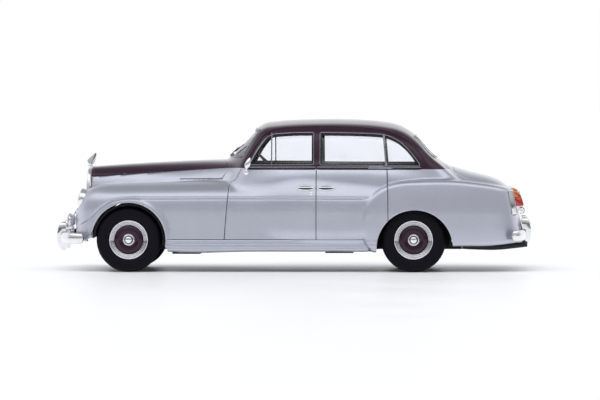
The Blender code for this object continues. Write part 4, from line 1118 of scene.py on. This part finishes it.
def make_interior():
    """An open tub with arm rests, a bulkhead and a tunnel, and all that stands in it."""
    low, high = cad("interior_tub")
    middle_x, floor_z, depth = (low[0] + high[0]) / 2 - 0.2, low[2], 11.3
    outer = (high - low)[:2] / 2
    inner = outer - 0.6
    loops = []
    for share, (a, b) in ((0.0, outer), (1.0, outer), (1.0, inner), (0.07, inner)):
        plan = rounded([(-a, -b, 1.2), (a, -b, 1.2), (a, b, 1.2), (-a, b, 1.2)], 5)
        loops.append([(middle_x + u, v, floor_z + share * depth) for u, v in plan])
    bm = strip(loops)
    for s in SIDES.values():
        for x in (-8.0, 3.0, 15.0):
            block(bm, (3.4, 0.7, 0.7), (x, s * 15.8, floor_z + 8.2), 0.25)
    block(bm, (0.9, 26.0, 6.4), (-15.2, 0, 22.9), 0.2)
    block(bm, (31.0, 5.2, 1.2), (2.0, 0, floor_z + 1.1), 0.5)
    piece("interior_tub", "_carpet", bm, "carpet")
    bench("front_seat", [(-0.3, 10.2, 0.6), (-0.3, 15.6, 1.2), (6.8, 14.8, 0.8), (8.9, 26.4, 1.2),
                         (11.0, 26.2, 1.2), (9.0, 10.2, 0.6)], 15.1, 1.5)
    bench("rear_seat", [(22.0, 18.6, 0.6), (22.0, 21.0, 1.2), (29.6, 20.2, 0.8), (32.0, 27.3, 1.2),
                        (34.0, 27.1, 1.2), (33.6, 18.6, 0.6)], 13.9, 1.5)
    make_dashboard()
    make_steering_wheel()


def make_dashboard():
    """A veneered board with a plated bezel and a cream dial for each instrument."""
    outline = rounded([(-14.8, 22.7, 0.3), (-14.8, 26.8, 1.0), (-11.7, 26.6, 1.2), (-12.1, 22.7, 0.6)], 8)
    loops = [[(x, y, z) for x, z in grown(outline, -0.3 * (abs(y) > 13.2))]
             for y in np.linspace(-13.4, 13.4, 60)]
    bm = strip(loops)
    aft = Matrix.Rotation(math.radians(-97), 3, "Z")
    for y, radius in ((-1.1, 0.85), (1.1, 0.85), (6.2, 0.8), (8.2, 1.05), (10.3, 0.8), (-7.4, 0.7)):
        edge = radius + 0.14
        ring = [(0, 0), (radius, 0), (edge, 0.02), (edge, 0.22), (radius, 0.26), (radius - 0.1, 0.1),
                (0, 0.1)]
        turned_at(bm, ring, 40, (-11.74, y, 25.1), aft, [1, 1, 1, 1, 1, 2, 2])
    piece("dashboard", "_veneer", bm, "veneer", "chrome", "dial")


def make_steering_wheel():
    """A thin rim on two spokes, with a horn boss and a column, raked back."""
    low, high = cad("steering_wheel")
    ring_r = (high[1] - low[1]) / 2 - 0.28
    hub = (-6.5, (low[1] + high[1]) / 2, 27.2)
    bm = turned([(ring_r + a, b) for a, b in circle(0.27, 12)], 96)
    boss = [(0, -0.3), (0.75, -0.25), (0.95, 0), (0.75, 0.3), (0.35, 0.45), (0, 0.5)]
    turned(boss, 32, [1] * 6, bm, closed=False)
    for s in (-1, 1):
        block(bm, (0.42, 0.22, ring_r), (0, 0.05, s * ring_r / 2), 0.08, finish=1)
    turned([(0, -6.2), (0.3, -6.2), (0.3, -0.2), (0, -0.2)], 20, [0] * 4, bm, closed=False)
    turn = Matrix.Rotation(math.radians(45), 3, "Y") @ Matrix.Rotation(math.pi / 2, 3, "X")
    piece("steering_wheel", "_rim", bm, "black", "chrome", at=hub, turn=turn)


# ---------------------------------------------------------------- glazing and its trim

def pane(surface, outline, low, high, rings=9):
    """A curved sheet that fills an outline. surface maps (u, v, lift) to points on the body."""
    outline = grown(divided(outline, 0.9), -0.08)
    centre = (outline.min(0) + outline.max(0)) / 2
    bm = bmesh.new()
    shares = np.linspace(1 / rings, 1, rings)[:, None, None]
    flat = centre + (outline - centre) * shares
    inner = surface(flat[..., 0], flat[..., 1], low)
    loops = [*inner, *surface(flat[..., 0], flat[..., 1], high)[::-1]]
    rows = [[bm.verts.new(point) for point in loop] for loop in loops]
    quads(bm, rows, wrap_columns=True)
    for end, lift in ((rows[0], low), (rows[-1], high)):
        hub = bm.verts.new(surface(*centre[:, None], lift)[0])
        for a, b in zip(end, end[1:] + end[:1]):
            bm.faces.new((a, b, hub))
    return bm


def window_trim(node, outline, side, foot, head, width, belt):
    """A side window's bright frame and black seal, its division bar, and the belt strip below."""
    path = divided(outline, 0.5)
    points, normals = on_side(grown(path, 0.08), side)
    on_pillar = step((-6.5 - path[:, 0]) / 1.5) * step((path[:, 1] - 28.5) / 0.8)
    bm = sweep(points, normals, bead_section(0.24, 0.2, 0.02), closed=True, size=1 + 1.1 * on_pillar,
               finish=2)
    points, normals = on_side(grown(path, -0.2), side)
    sweep(points, normals, slab_section(0.5, -0.6, -0.16), closed=True, bm=bm, finish=1)
    points, normals = on_side(smooth_path([foot, head], 0.6), side)
    sweep(points, normals, bead_section(width, 0.28, -0.1), bm=bm, finish=2)
    # Below the bright belt strip, a thin black slab: a painted shade line where the groove under the strip is
    # dark.
    strips = ((27.62, bead_section(0.34, 0.26, 0.0), 2), (27.12, slab_section(0.34, -0.1, 0.1), 1))
    for z, section, finish in strips:
        points, normals = on_side(smooth_path([(belt[0], z), (belt[1], z)], 0.6), side)
        sweep(points, normals, section, bm=bm, finish=finish, size=tapered(len(points), 0.03, 0.5))
    piece(node, "_bright", bm, *BRIGHT_TRIM, sharp=50)


def screen_trim(node, outline, heading):
    """A screen's bright frame and black seal."""
    path = divided(outline, 0.5)
    points, normals = at_end(grown(path, 0.16), heading)
    bm = sweep(points, normals, bead_section(0.26, 0.2, 0.02), closed=True, finish=2)
    points, normals = at_end(grown(path, -0.2), heading)
    sweep(points, normals, slab_section(0.5, -0.6, -0.05), closed=True, bm=bm, finish=1)
    piece(node, "_bright", bm, *BRIGHT_TRIM, sharp=50)


def make_glazing():
    """The screens, the side glazing and their trim."""
    for node, outline, heading in (("windscreen", WINDSCREEN, -1), ("rear_window", REAR_SCREEN, 1)):
        def at_screen(u, v, lift, heading=heading):
            return end_point(u, v, heading, lift)

        piece(node, "_glass", pane(at_screen, outline, -0.8, -0.4), "glass")
        screen_trim(f"{node}_trim", outline, heading)
    for side, s in SIDES.items():
        def beside(u, v, lift, s=s):
            return side_point(u, v, s, lift)

        piece(f"side_glazing_{side}", "_glass", pane(beside, SIDE_GLAZING, -1.75, -1.4), "glass")
        window_trim(f"front_window_trim_{side}", FRONT_WINDOW, s, (-5.6, 28.0), (-5.6, 36.6), 0.32,
                    (-11.9, 6.05))
        window_trim(f"rear_window_trim_{side}", REAR_WINDOW, s, (24.6, 27.9), (23.9, 36.2), 0.5,
                    (6.35, 33.8))
        make_gutter(side, s)


def make_gutter(side, s):
    """The drip rail, from the foot of the screen pillar over the doors to the rear quarter."""
    path = smooth_path([(-12.6, 28.4), (-10.6, 32.0), (-8.2, 35.6), (-6.4, 37.2), (-3.5, 37.9), (6, 38.35),
                        (16, 38.2), (24, 37.4), (28.5, 35.9), (31.5, 33.6), (34.0, 30.6), (35.6, 28.0)], 0.5,
                       3)
    points, normals = on_side(path, s)
    bm = sweep(points, normals, bead_section(0.45, 0.3, -0.05), size=tapered(len(points), 0.05, 0.3))
    piece(f"roof_gutter_{side}", "", bm, "maroon", sharp=50)


# ---------------------------------------------------------------- brightwork

def bumper_plan(middle_x, end_x, half_width, count=160):
    """The (x, y) line of a bumper: nearly straight across, then round each corner to the wing."""
    path = []
    for turn in np.linspace(-math.pi / 2, math.pi / 2, count + 1):
        across, along = math.sin(turn), math.cos(turn)
        path.append((end_x + (middle_x - end_x) * abs(along) ** (2 / 3.4),
                     half_width * math.copysign(abs(across) ** (2 / 3.4), across)))
    return divided(path, 0.5, closed=False)


def bumper(node, middle_x, end_x, half_width, z, iron_z):
    """A blade with a rolled, bulged section and rounded ends, on two irons."""
    plan = bumper_plan(middle_x, end_x, half_width)
    points = np.column_stack([plan, np.full(len(plan), z)])
    along = np.gradient(points, axis=0)
    way = math.copysign(1, middle_x)
    normals = np.column_stack([along[:, 1], -along[:, 0], 0 * along[:, 0]]) * way
    normals /= np.linalg.norm(normals, axis=1, keepdims=True)
    section = [(1.46 * math.cos(a), 0.16 + 0.74 * math.sin(a) ** 0.8)
               for a in np.linspace(0.02, math.pi - 0.02, 20)]
    section += [(-1.42, -0.1), (-1.2, -0.12), (0.0, 0.3), (1.2, -0.12), (1.42, -0.1)]
    length = np.concatenate([[0], np.cumsum(np.linalg.norm(np.diff(points, axis=0), axis=1))])
    to_end = np.minimum(length, length[-1] - length)
    size = 0.12 + 0.88 * np.sqrt(1 - np.clip(1 - to_end / 1.3, 0, 1) ** 2)
    bm = sweep(points, normals, section, size=size)
    inner = middle_x - way * 4.0
    bolt = [(0, 0.95), (0.24, 0.9), (0.32, 0.78), (0.32, 0.4), (0, 0.4)]
    for s in SIDES.values():
        block(bm, (3.8, 1.4, 0.6), ((middle_x + inner) / 2 + way * 0.1, s * 6.0, iron_z), 0.15)
        block(bm, (0.5, 1.4, 1.7), (middle_x - way * 0.1, s * 6.0, iron_z + 0.7), 0.1)
        turned_at(bm, bolt, 20, (end_x + way * 0.9, s * (half_width - 0.1), z), facing(s))
    piece(node, "_plated", bm, "chrome", sharp=55)


def make_overrider(node):
    """An upright guard on the bumper: a tapering, rounded blade with a rolled foot."""
    low, high = cad(node)
    way = math.copysign(1, low[0])
    front = low[0] if way < 0 else high[0]
    middle_y = (low[1] + high[1]) / 2
    height, foot = high[2] - low[2], low[2]
    deepest, rise = 2.35, np.linspace(0, 1, 40)
    set_back = curve((0, 1.1), (0.15, 0.35), (0.4, 0), (0.7, 0.05), (0.9, 0.5), (1, 1.3))(rise)
    loops = []
    for t, back in zip(rise, set_back):
        thick = deepest - back
        half = math.sqrt(max(0.05, 1 - (2 * t - 1) ** 6)) * (0.86 + 0.14 * t)
        ring = [(thick * (1 - abs(math.cos(a)) ** 2.6) * (math.sin(a) > 0), half * math.cos(a))
                for a in np.linspace(0, math.tau, 33)[:-1]]
        loops.append([(front - way * (deepest - u), middle_y + v, foot + height * t) for u, v in ring])
    piece(node, "_plated", strip(loops), "chrome", sharp=50)


def make_bumpers():
    """Both bumpers, with two overriders each."""
    bumper("front_bumper", -61.0, -54.9, 20.9, 8.9, 7.3)
    bumper("rear_bumper", 60.9, 57.5, 20.3, 9.7, 7.9)
    for end in ("front", "rear"):
        for side in SIDES:
            make_overrider(f"overrider_{end}_{side}")


def grille_outline(inset, foot):
    """The radiator shell from the front: straight sides and a gently arched top, as (y, z) points."""
    half, rise = 8.1 - inset, 13.4 - inset
    top = []
    for turn in np.radians(np.linspace(0, 180, 73)):
        across, up = math.cos(turn), math.sin(turn)
        top.append((half * math.copysign(abs(across) ** 0.5, across), 14 + rise * up ** 0.5))
    return [(-half, foot + inset), (half, foot + inset)] + top


def make_grille():
    """An upright radiator shell with rounded shoulders, a deep recess and an open grid of bars."""
    top, foot, front, back = 27.4, 9.6, -54.9, -54.0

    def lean(z):
        return -0.05 * (top - z)

    recess, edge = 0.84, 1.1
    rims = [(back - front, 0.0), (0.5, 0.0), (0.2, 0.06), (0.05, 0.2), (0.0, 0.4), (0.02, 0.8), (0.14, 0.98),
            (0.4, 1.06), (recess, edge)]
    bm = strip([[(front + depth + lean(z), y, z) for y, z in grille_outline(inset, foot)]
                for depth, inset in rims])
    for y in np.arange(-4, 5) * 1.5:
        zs = np.linspace(foot + 0.9, top - 0.9 - 0.0008 * y ** 4, 24)
        points = np.column_stack([front + 0.62 + lean(zs), 0 * zs + y, zs])
        normals = np.tile((-1.0, 0, -0.05), (len(zs), 1))
        sweep(points, normals, bead_section(0.42, 0.3, -0.05), bm=bm)
    for z in (13.6, 18.2, 22.8):
        ys = np.linspace(-7.1, 7.1, 12)
        points = np.column_stack([0 * ys + front + 0.68 + lean(z), ys, 0 * ys + z])
        sweep(points, np.tile((-1.0, 0, 0), (len(ys), 1)), bead_section(0.3, 0.22, -0.05), bm=bm)
    plate = [[(front + recess + depth + lean(z), y, z) for y, z in grille_outline(edge, foot)]
             for depth in (0, -0.12)]
    strip(plate, bm=bm, finish=1)
    piece("radiator_grille", "_plated", bm, "chrome", "black", sharp=50)


def make_mascot():
    """A plain swept fin on a turned foot, standing on the radiator shell."""
    low, high = cad("mascot")
    x, foot = -54.6, low[2]
    stem = [(0, 0), (0.85, 0), (0.85, 0.16), (0.6, 0.3), (0.42, 0.42), (0.34, 0.7), (0, 0.7)]
    bm = turned(stem, 48, closed=False)
    bmesh.ops.transform(bm, matrix=Matrix.Rotation(math.pi / 2, 4, "X"), verts=bm.verts)
    bmesh.ops.translate(bm, vec=(x, 0, foot), verts=bm.verts)
    loops = []
    for t in np.linspace(0, 1, 30):
        chord = 0.42 + 0.75 * math.sin(math.pi * min(1, t * 1.05)) ** 0.8 * (1 - 0.25 * t)
        thick = 0.34 * (1 - 0.75 * t)
        centre = x + 0.1 + 1.15 * t ** 1.6
        z = foot + 0.5 + (high[2] - foot - 0.55) * t
        loops.append([(centre + chord * a, thick * b, z + 0.25 * a * t) for a, b in circle(1, 32)])
    strip(loops, bm=bm)
    piece("mascot", "_fin", bm, "chrome", sharp=50)


# ---------------------------------------------------------------- lamps and small trim

def headlamp(s):
    """A headlamp's place, and its aim in degrees outwards and upwards."""
    return (-54.2, s * 14.2, 18.8), (4 * s, 9)


def lamp_mesh(profile, at, aim, steps, bm=None, finish=None):
    """Adds a lamp turned about its aim, from a profile whose y runs forwards."""
    out, up = (math.radians(angle) for angle in aim)
    turn = Matrix.Rotation(math.pi / 2 + out, 3, "Z") @ Matrix.Rotation(up, 3, "X")
    return turned_at(bm or bmesh.new(), profile, steps, at, turn, finish)


def dome(radius, rise, base, count=14):
    """The last part of a lens profile, from its edge to its middle."""
    return [(radius * math.cos(a), base + rise * math.sin(a)) for a in np.linspace(0, math.pi / 2, count)]


def make_headlamps():
    """A plated bezel and reflector with a bulb, and a domed, fluted glass."""
    bezel = [(0, -1.6), (2.0, -1.6), (2.5, -1.5), (2.76, 0.6), (2.9, 1.5), (2.94, 1.75), (2.86, 2.0),
             (2.68, 2.2), (2.45, 2.32), (2.3, 2.24), (2.22, 2.05), (2.16, 1.4), (1.85, 0.5), (1.2, -0.3),
             (0.5, -0.62), (0, -0.66)]
    bulb = [(0, -0.6), (0.32, -0.5), (0.36, 0.5), (0.2, 0.75), (0, 0.8)]
    glass = [(0, 1.75), (2.2, 1.75)] + dome(2.24, 0.75, 2.0)
    for side, s in SIDES.items():
        bm = lamp_mesh(bezel, *headlamp(s), 96)
        lamp_mesh(bulb, *headlamp(s), 24, bm, [1] * 5)
        piece(f"headlamp_{side}", "_bezel", bm, "chrome", "dial", sharp=50)
        piece(f"headlamp_lens_{side}", "_glass", lamp_mesh(glass, *headlamp(s), 64), "lamp_glass")


def make_fog_lamps():
    """A plated bowl with a domed glass, on a bracket."""
    bowl = [(0, 0), (0.5, 0.04), (0.95, 0.14), (1.35, 0.4), (1.66, 0.8), (1.84, 1.2), (1.92, 1.45),
            (1.9, 1.62), (1.78, 1.72), (1.66, 1.66), (1.6, 1.5), (0, 1.3)]
    glass = [(0, 1.45), (1.62, 1.45)] + dome(1.62, 0.62, 1.6)
    for side in SIDES:
        low, high = cad(f"fog_lamp_{side}")
        x, y, z = high[0], (low[1] + high[1]) / 2, (low[2] + high[2]) / 2
        bm = lamp_mesh(bowl, (x, y, z), (0, 0), 72)
        lamp_mesh(glass, (x, y, z), (0, 0), 56, bm, [1] * len(glass))
        block(bm, (0.8, 0.7, 2.2), (x - 0.7, y, z - 2.6), 0.2)
        piece(f"fog_lamp_{side}", "_bowl", bm, "chrome", "lamp_glass", sharp=50)


def make_tail_lamps():
    """A plated bezel with an amber lens over a red one and a small clear lamp below."""
    rims = [(-1.28, -0.3), (-1.2, -0.1), (-1.02, 0.0), (1.02, 0.0), (1.2, -0.1), (1.28, -0.3)]
    bezel = rounded([(57.5, 15.0, 0.4), (56.5, 21.7, 0.5), (57.9, 21.9, 0.5), (58.5, 19.0, 1.5),
                     (59.3, 15.2, 0.5)], 6)
    amber = rounded([(57.9, 19.75, 0.2), (57.75, 21.5, 0.6), (59.5, 21.1, 1.2), (60.2, 19.75, 0.2)], 8)
    red = rounded([(58.1, 17.3, 0.3), (57.9, 19.7, 0.1), (60.2, 19.7, 0.1), (60.85, 17.5, 0.5)], 8)
    clear = [(0, -0.4), (0.95, -0.4), (0.98, 0.2), (0.86, 0.34)] + dome(0.82, 0.5, 0.34, 8)
    clear_finish = [0, 0, 0] + [3] * (len(clear) - 3)
    aft = Matrix.Rotation(math.radians(-90), 3, "Z")
    for side, s in SIDES.items():
        bm = bmesh.new()
        for outline, out, finish in ((bezel, 1.0, 0), (amber, 0.9, 1), (red, 0.9, 2)):
            loops = [[(x, s * TAIL_LAMP_Y + y * out, z) for x, z in grown(outline, inset)] for y,
                     inset in rims]
            strip(loops, bm=bm, finish=finish)
        turned_at(bm, clear, 40, (60.2, s * TAIL_LAMP_Y, 16.2), aft, clear_finish)
        piece(f"tail_lamp_{side}", "_lens", bm, "chrome", "amber", "red", "lamp_glass", sharp=50)


def make_handle(node, s, x0, x1):
    """A door pull set in a lens-shaped plate. The front one has a lock below it."""
    middle, half = (x0 + x1) / 2, (x1 - x0) / 2
    t = np.linspace(0, math.tau, 61)[:-1]
    rim = np.stack([middle + half * np.cos(t), HANDLE_Z + 0.62 * np.sin(t) * np.abs(np.sin(t)) ** 0.3], 1)
    bm = sweep(*on_side(rim, s), bead_section(0.36, 0.34, 0.0), closed=True)
    xs = np.linspace(x0 + 0.25, x1 - 0.25, 24)
    line = np.stack([xs, 0 * xs + HANDLE_Z], 1)
    bow = 0.02 + np.sqrt(np.clip(1 - ((xs - middle) / half) ** 2, 0, 1))
    # A black slab under the pull: painted shade in the slot behind it.
    sweep(*on_side(line, s), slab_section(0.8, -0.1, 0.06), size=bow, bm=bm, finish=1)
    points, normals = on_side(line + (0, 0.1), s)
    points = points + normals * (0.3 * bow)[:, None]
    sweep(points, normals, bead_section(0.46, 0.2, -0.02), size=0.45 + 0.55 * bow, bm=bm)
    if "front" in node:
        lock = [(0, -0.1), (0.42, -0.1), (0.42, 0.1), (0.3, 0.2), (0, 0.22)]
        turned_at(bm, lock, 32, side_point(4.9, 20.75, s), facing(s))
    piece(node, "_plated", bm, "chrome", "black", sharp=50)


def make_handles():
    """Door pulls either side of the middle door gap."""
    for side, s in SIDES.items():
        make_handle(f"door_handle_front_{side}", s, 1.0, 5.9)
        make_handle(f"door_handle_rear_{side}", s, 6.4, 11.2)


def make_mirrors():
    """Door mirrors: a round foot, a bent stalk and a teardrop head."""
    pad = [(0, -0.15), (0.75, -0.1), (0.72, 0.12), (0.45, 0.3), (0, 0.34)]
    for side, s in SIDES.items():
        foot = side_point(-12.3, 26.2, s)
        bm = turned_at(bmesh.new(), pad, 40, foot, facing(s))
        path = smooth_path([foot, foot + (0, 0.7 * s, 0.5), foot + (0.2, 0.95 * s, 1.4),
                            foot + (0.4, 0.95 * s, 2.2)], 0.15)
        sweep(path, np.tile((-1.0, 0, 0), (len(path), 1)), circle(0.22, 12), bm=bm)
        x, y, z = foot + (0.1, 0.95 * s, 0.9)
        loops = []
        for t in np.linspace(0.02, 0.98, 24):
            wide = math.sin(math.pi * t ** 0.8) ** 0.75
            loops.append([(x + 0.9 * t + 0.8 * wide * a, y + 0.55 * wide * b, z + 3.1 * t)
                          for a, b in circle(1, 32)])
        strip(loops, bm=bm)
        piece(f"door_mirror_{side}", "_plated", bm, "chrome", sharp=50)


def make_wipers():
    """An arm on a spindle at the foot of the windscreen, and a blade that follows the glass."""
    spindle = [(0, -0.3), (0.42, -0.3), (0.42, 0.5), (0.25, 0.65), (0, 0.68)]
    rake = Matrix.Rotation(math.radians(45), 3, "Y") @ Matrix.Rotation(math.pi / 2, 3, "X")
    for side, s in SIDES.items():
        arm = [(2.6 * s, 30.35), (4.2 * s, 31.2), (6.6 * s, 32.3)]
        points, normals = at_end(smooth_path(arm, 0.3), -1)
        points = points + normals * np.linspace(0.3, 0.5, len(points))[:, None]
        bm = sweep(points, normals, slab_section(0.24, -0.06, 0.08), size=tapered(len(points), 0.1, 0.5))
        blade = smooth_path([(4.2 * s, 31.35), (6.6 * s, 32.35), (9.4 * s, 33.3)], 0.3)
        points, normals = at_end(blade, -1)
        sweep(points + normals * 0.28, normals, slab_section(0.1, -0.2, 0.05), bm=bm)
        turned_at(bm, spindle, 24, end_point(*arm[0], -1), rake)
        piece(f"wiper_{side}", "_arm", bm, "satin_chrome", "black", sharp=50)


def make_boot_handle():
    """A plate with a bar on two posts."""
    low, high = cad("boot_handle")
    x, _, z = (low + high) / 2
    bm = bmesh.new()
    block(bm, (0.5, 3.4, 0.9), (low[0] + 0.35, 0, z), 0.2)
    block(bm, (0.4, 2.6, 0.42), (high[0] - 0.2, 0, z + 0.05), 0.15)
    for s in (-1, 1):
        block(bm, (0.6, 0.35, 0.35), (x + 0.1, s * 1.0, z + 0.05), 0.1)
    piece("boot_handle", "_plated", bm, "chrome")


# ---------------------------------------------------------------- studio

def add_camera():
    """A long lens looking almost straight at the near side from a little above it."""
    data = bpy.data.cameras.new("camera")
    data.sensor_width = 36
    data.lens = CAMERA_LENS
    data.clip_end = 100
    camera = linked("camera", data)
    camera.location = CAMERA_AT
    camera.rotation_euler = (CAMERA_AIM - CAMERA_AT).to_track_quat("-Z", "Y").to_euler()
    bpy.context.scene.camera = camera


def add_floor():
    """A large flat floor."""
    bm = bmesh.new()
    bmesh.ops.create_grid(bm, x_segments=8, y_segments=8, size=4.0)
    mesh = bpy.data.meshes.new("studio_floor")
    bm.to_mesh(mesh)
    bm.free()
    mesh.materials.append(floor_material())
    linked("studio_floor", mesh)


def add_sky():
    """White where the camera sees it. As light, it is dark low down on the camera's side, has a bright
    band above that, and is dimmer overhead and even behind the car."""
    world = bpy.data.worlds.new("studio")
    bpy.context.scene.world = world
    world.use_nodes = True
    tree = world.node_tree
    tree.nodes.clear()

    def node(kind, **inputs):
        made = tree.nodes.new("ShaderNode" + kind)
        for name, value in inputs.items():
            key = int(name[1:]) if name.startswith("i") else name.replace("_", " ")
            socket = made.inputs[key]
            if isinstance(value, bpy.types.NodeSocket):
                tree.links.new(value, socket)
            else:
                socket.default_value = value
        return made

    def ramp(value, low, high, to_low, to_high):
        made = node("MapRange", Value=value, From_Min=low, From_Max=high, To_Min=to_low, To_Max=to_high)
        made.interpolation_type = "SMOOTHSTEP"
        return made.outputs["Result"]

    split = node("SeparateXYZ", i0=node("TexCoord").outputs["Generated"])
    behind = ramp(split.outputs["Y"], -0.35, 0.5, 0.0, 1.0)
    flag = ramp(split.outputs["Z"], 0.04, 0.14, SKY["camera_flag"], SKY["camera_horizon"])
    rise = ramp(split.outputs["Z"], 0.3, 0.7, 0.0, 1.0)
    low = node("Mix", i0=rise, i2=flag, i3=SKY["camera_softbox"]).outputs[0]
    top = ramp(split.outputs["Z"], 0.82, 0.97, 0.0, 1.0)
    front = node("Mix", i0=top, i2=low, i3=SKY["overhead"]).outputs[0]
    back = ramp(split.outputs["Z"], 0.3, 0.9, SKY["back_horizon"], SKY["overhead"])
    strength = node("Mix", i0=behind, i2=front, i3=back).outputs[0]
    lit = node("Background", Color=(0.965, 0.975, 1.0, 1), Strength=strength)
    seen = node("Background", Color=(1, 1, 1, 1))
    path = node("LightPath")
    mix = node("MixShader", i0=path.outputs["Is Camera Ray"], i1=lit.outputs[0], i2=seen.outputs[0])
    node("OutputWorld", Surface=mix.outputs[0])


def add_sun():
    """A very soft light from high on the camera's side, which whitens the whole floor alike."""
    data = bpy.data.lights.new("soft_sun", "SUN")
    data.energy = 1.85
    data.angle = math.radians(50)
    light = linked("soft_sun", data)
    light.visible_glossy = False
    light.rotation_euler = (math.radians(36), math.radians(-8), 0)


def add_studio():
    """Floor, light and camera."""
    add_floor()
    add_sky()
    add_sun()
    bpy.context.scene.view_settings.view_transform = "Standard"
    add_camera()


def finish_base_plate():
    """Gives the base plate, the one CAD node that stays in view, its finish."""
    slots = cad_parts["base_plate"].data.materials
    slots.clear()
    slots.append(FINISH["chassis"])


def main():
    """Every piece, in the order that the model is put together, and then the studio."""
    make_body()
    make_running_gear()
    make_exhaust()
    make_screws()
    make_interior()
    make_glazing()
    make_bumpers()
    make_grille()
    make_mascot()
    make_headlamps()
    make_fog_lamps()
    make_tail_lamps()
    make_handles()
    make_mirrors()
    make_wipers()
    make_boot_handle()
    finish_base_plate()
    add_studio()


main()
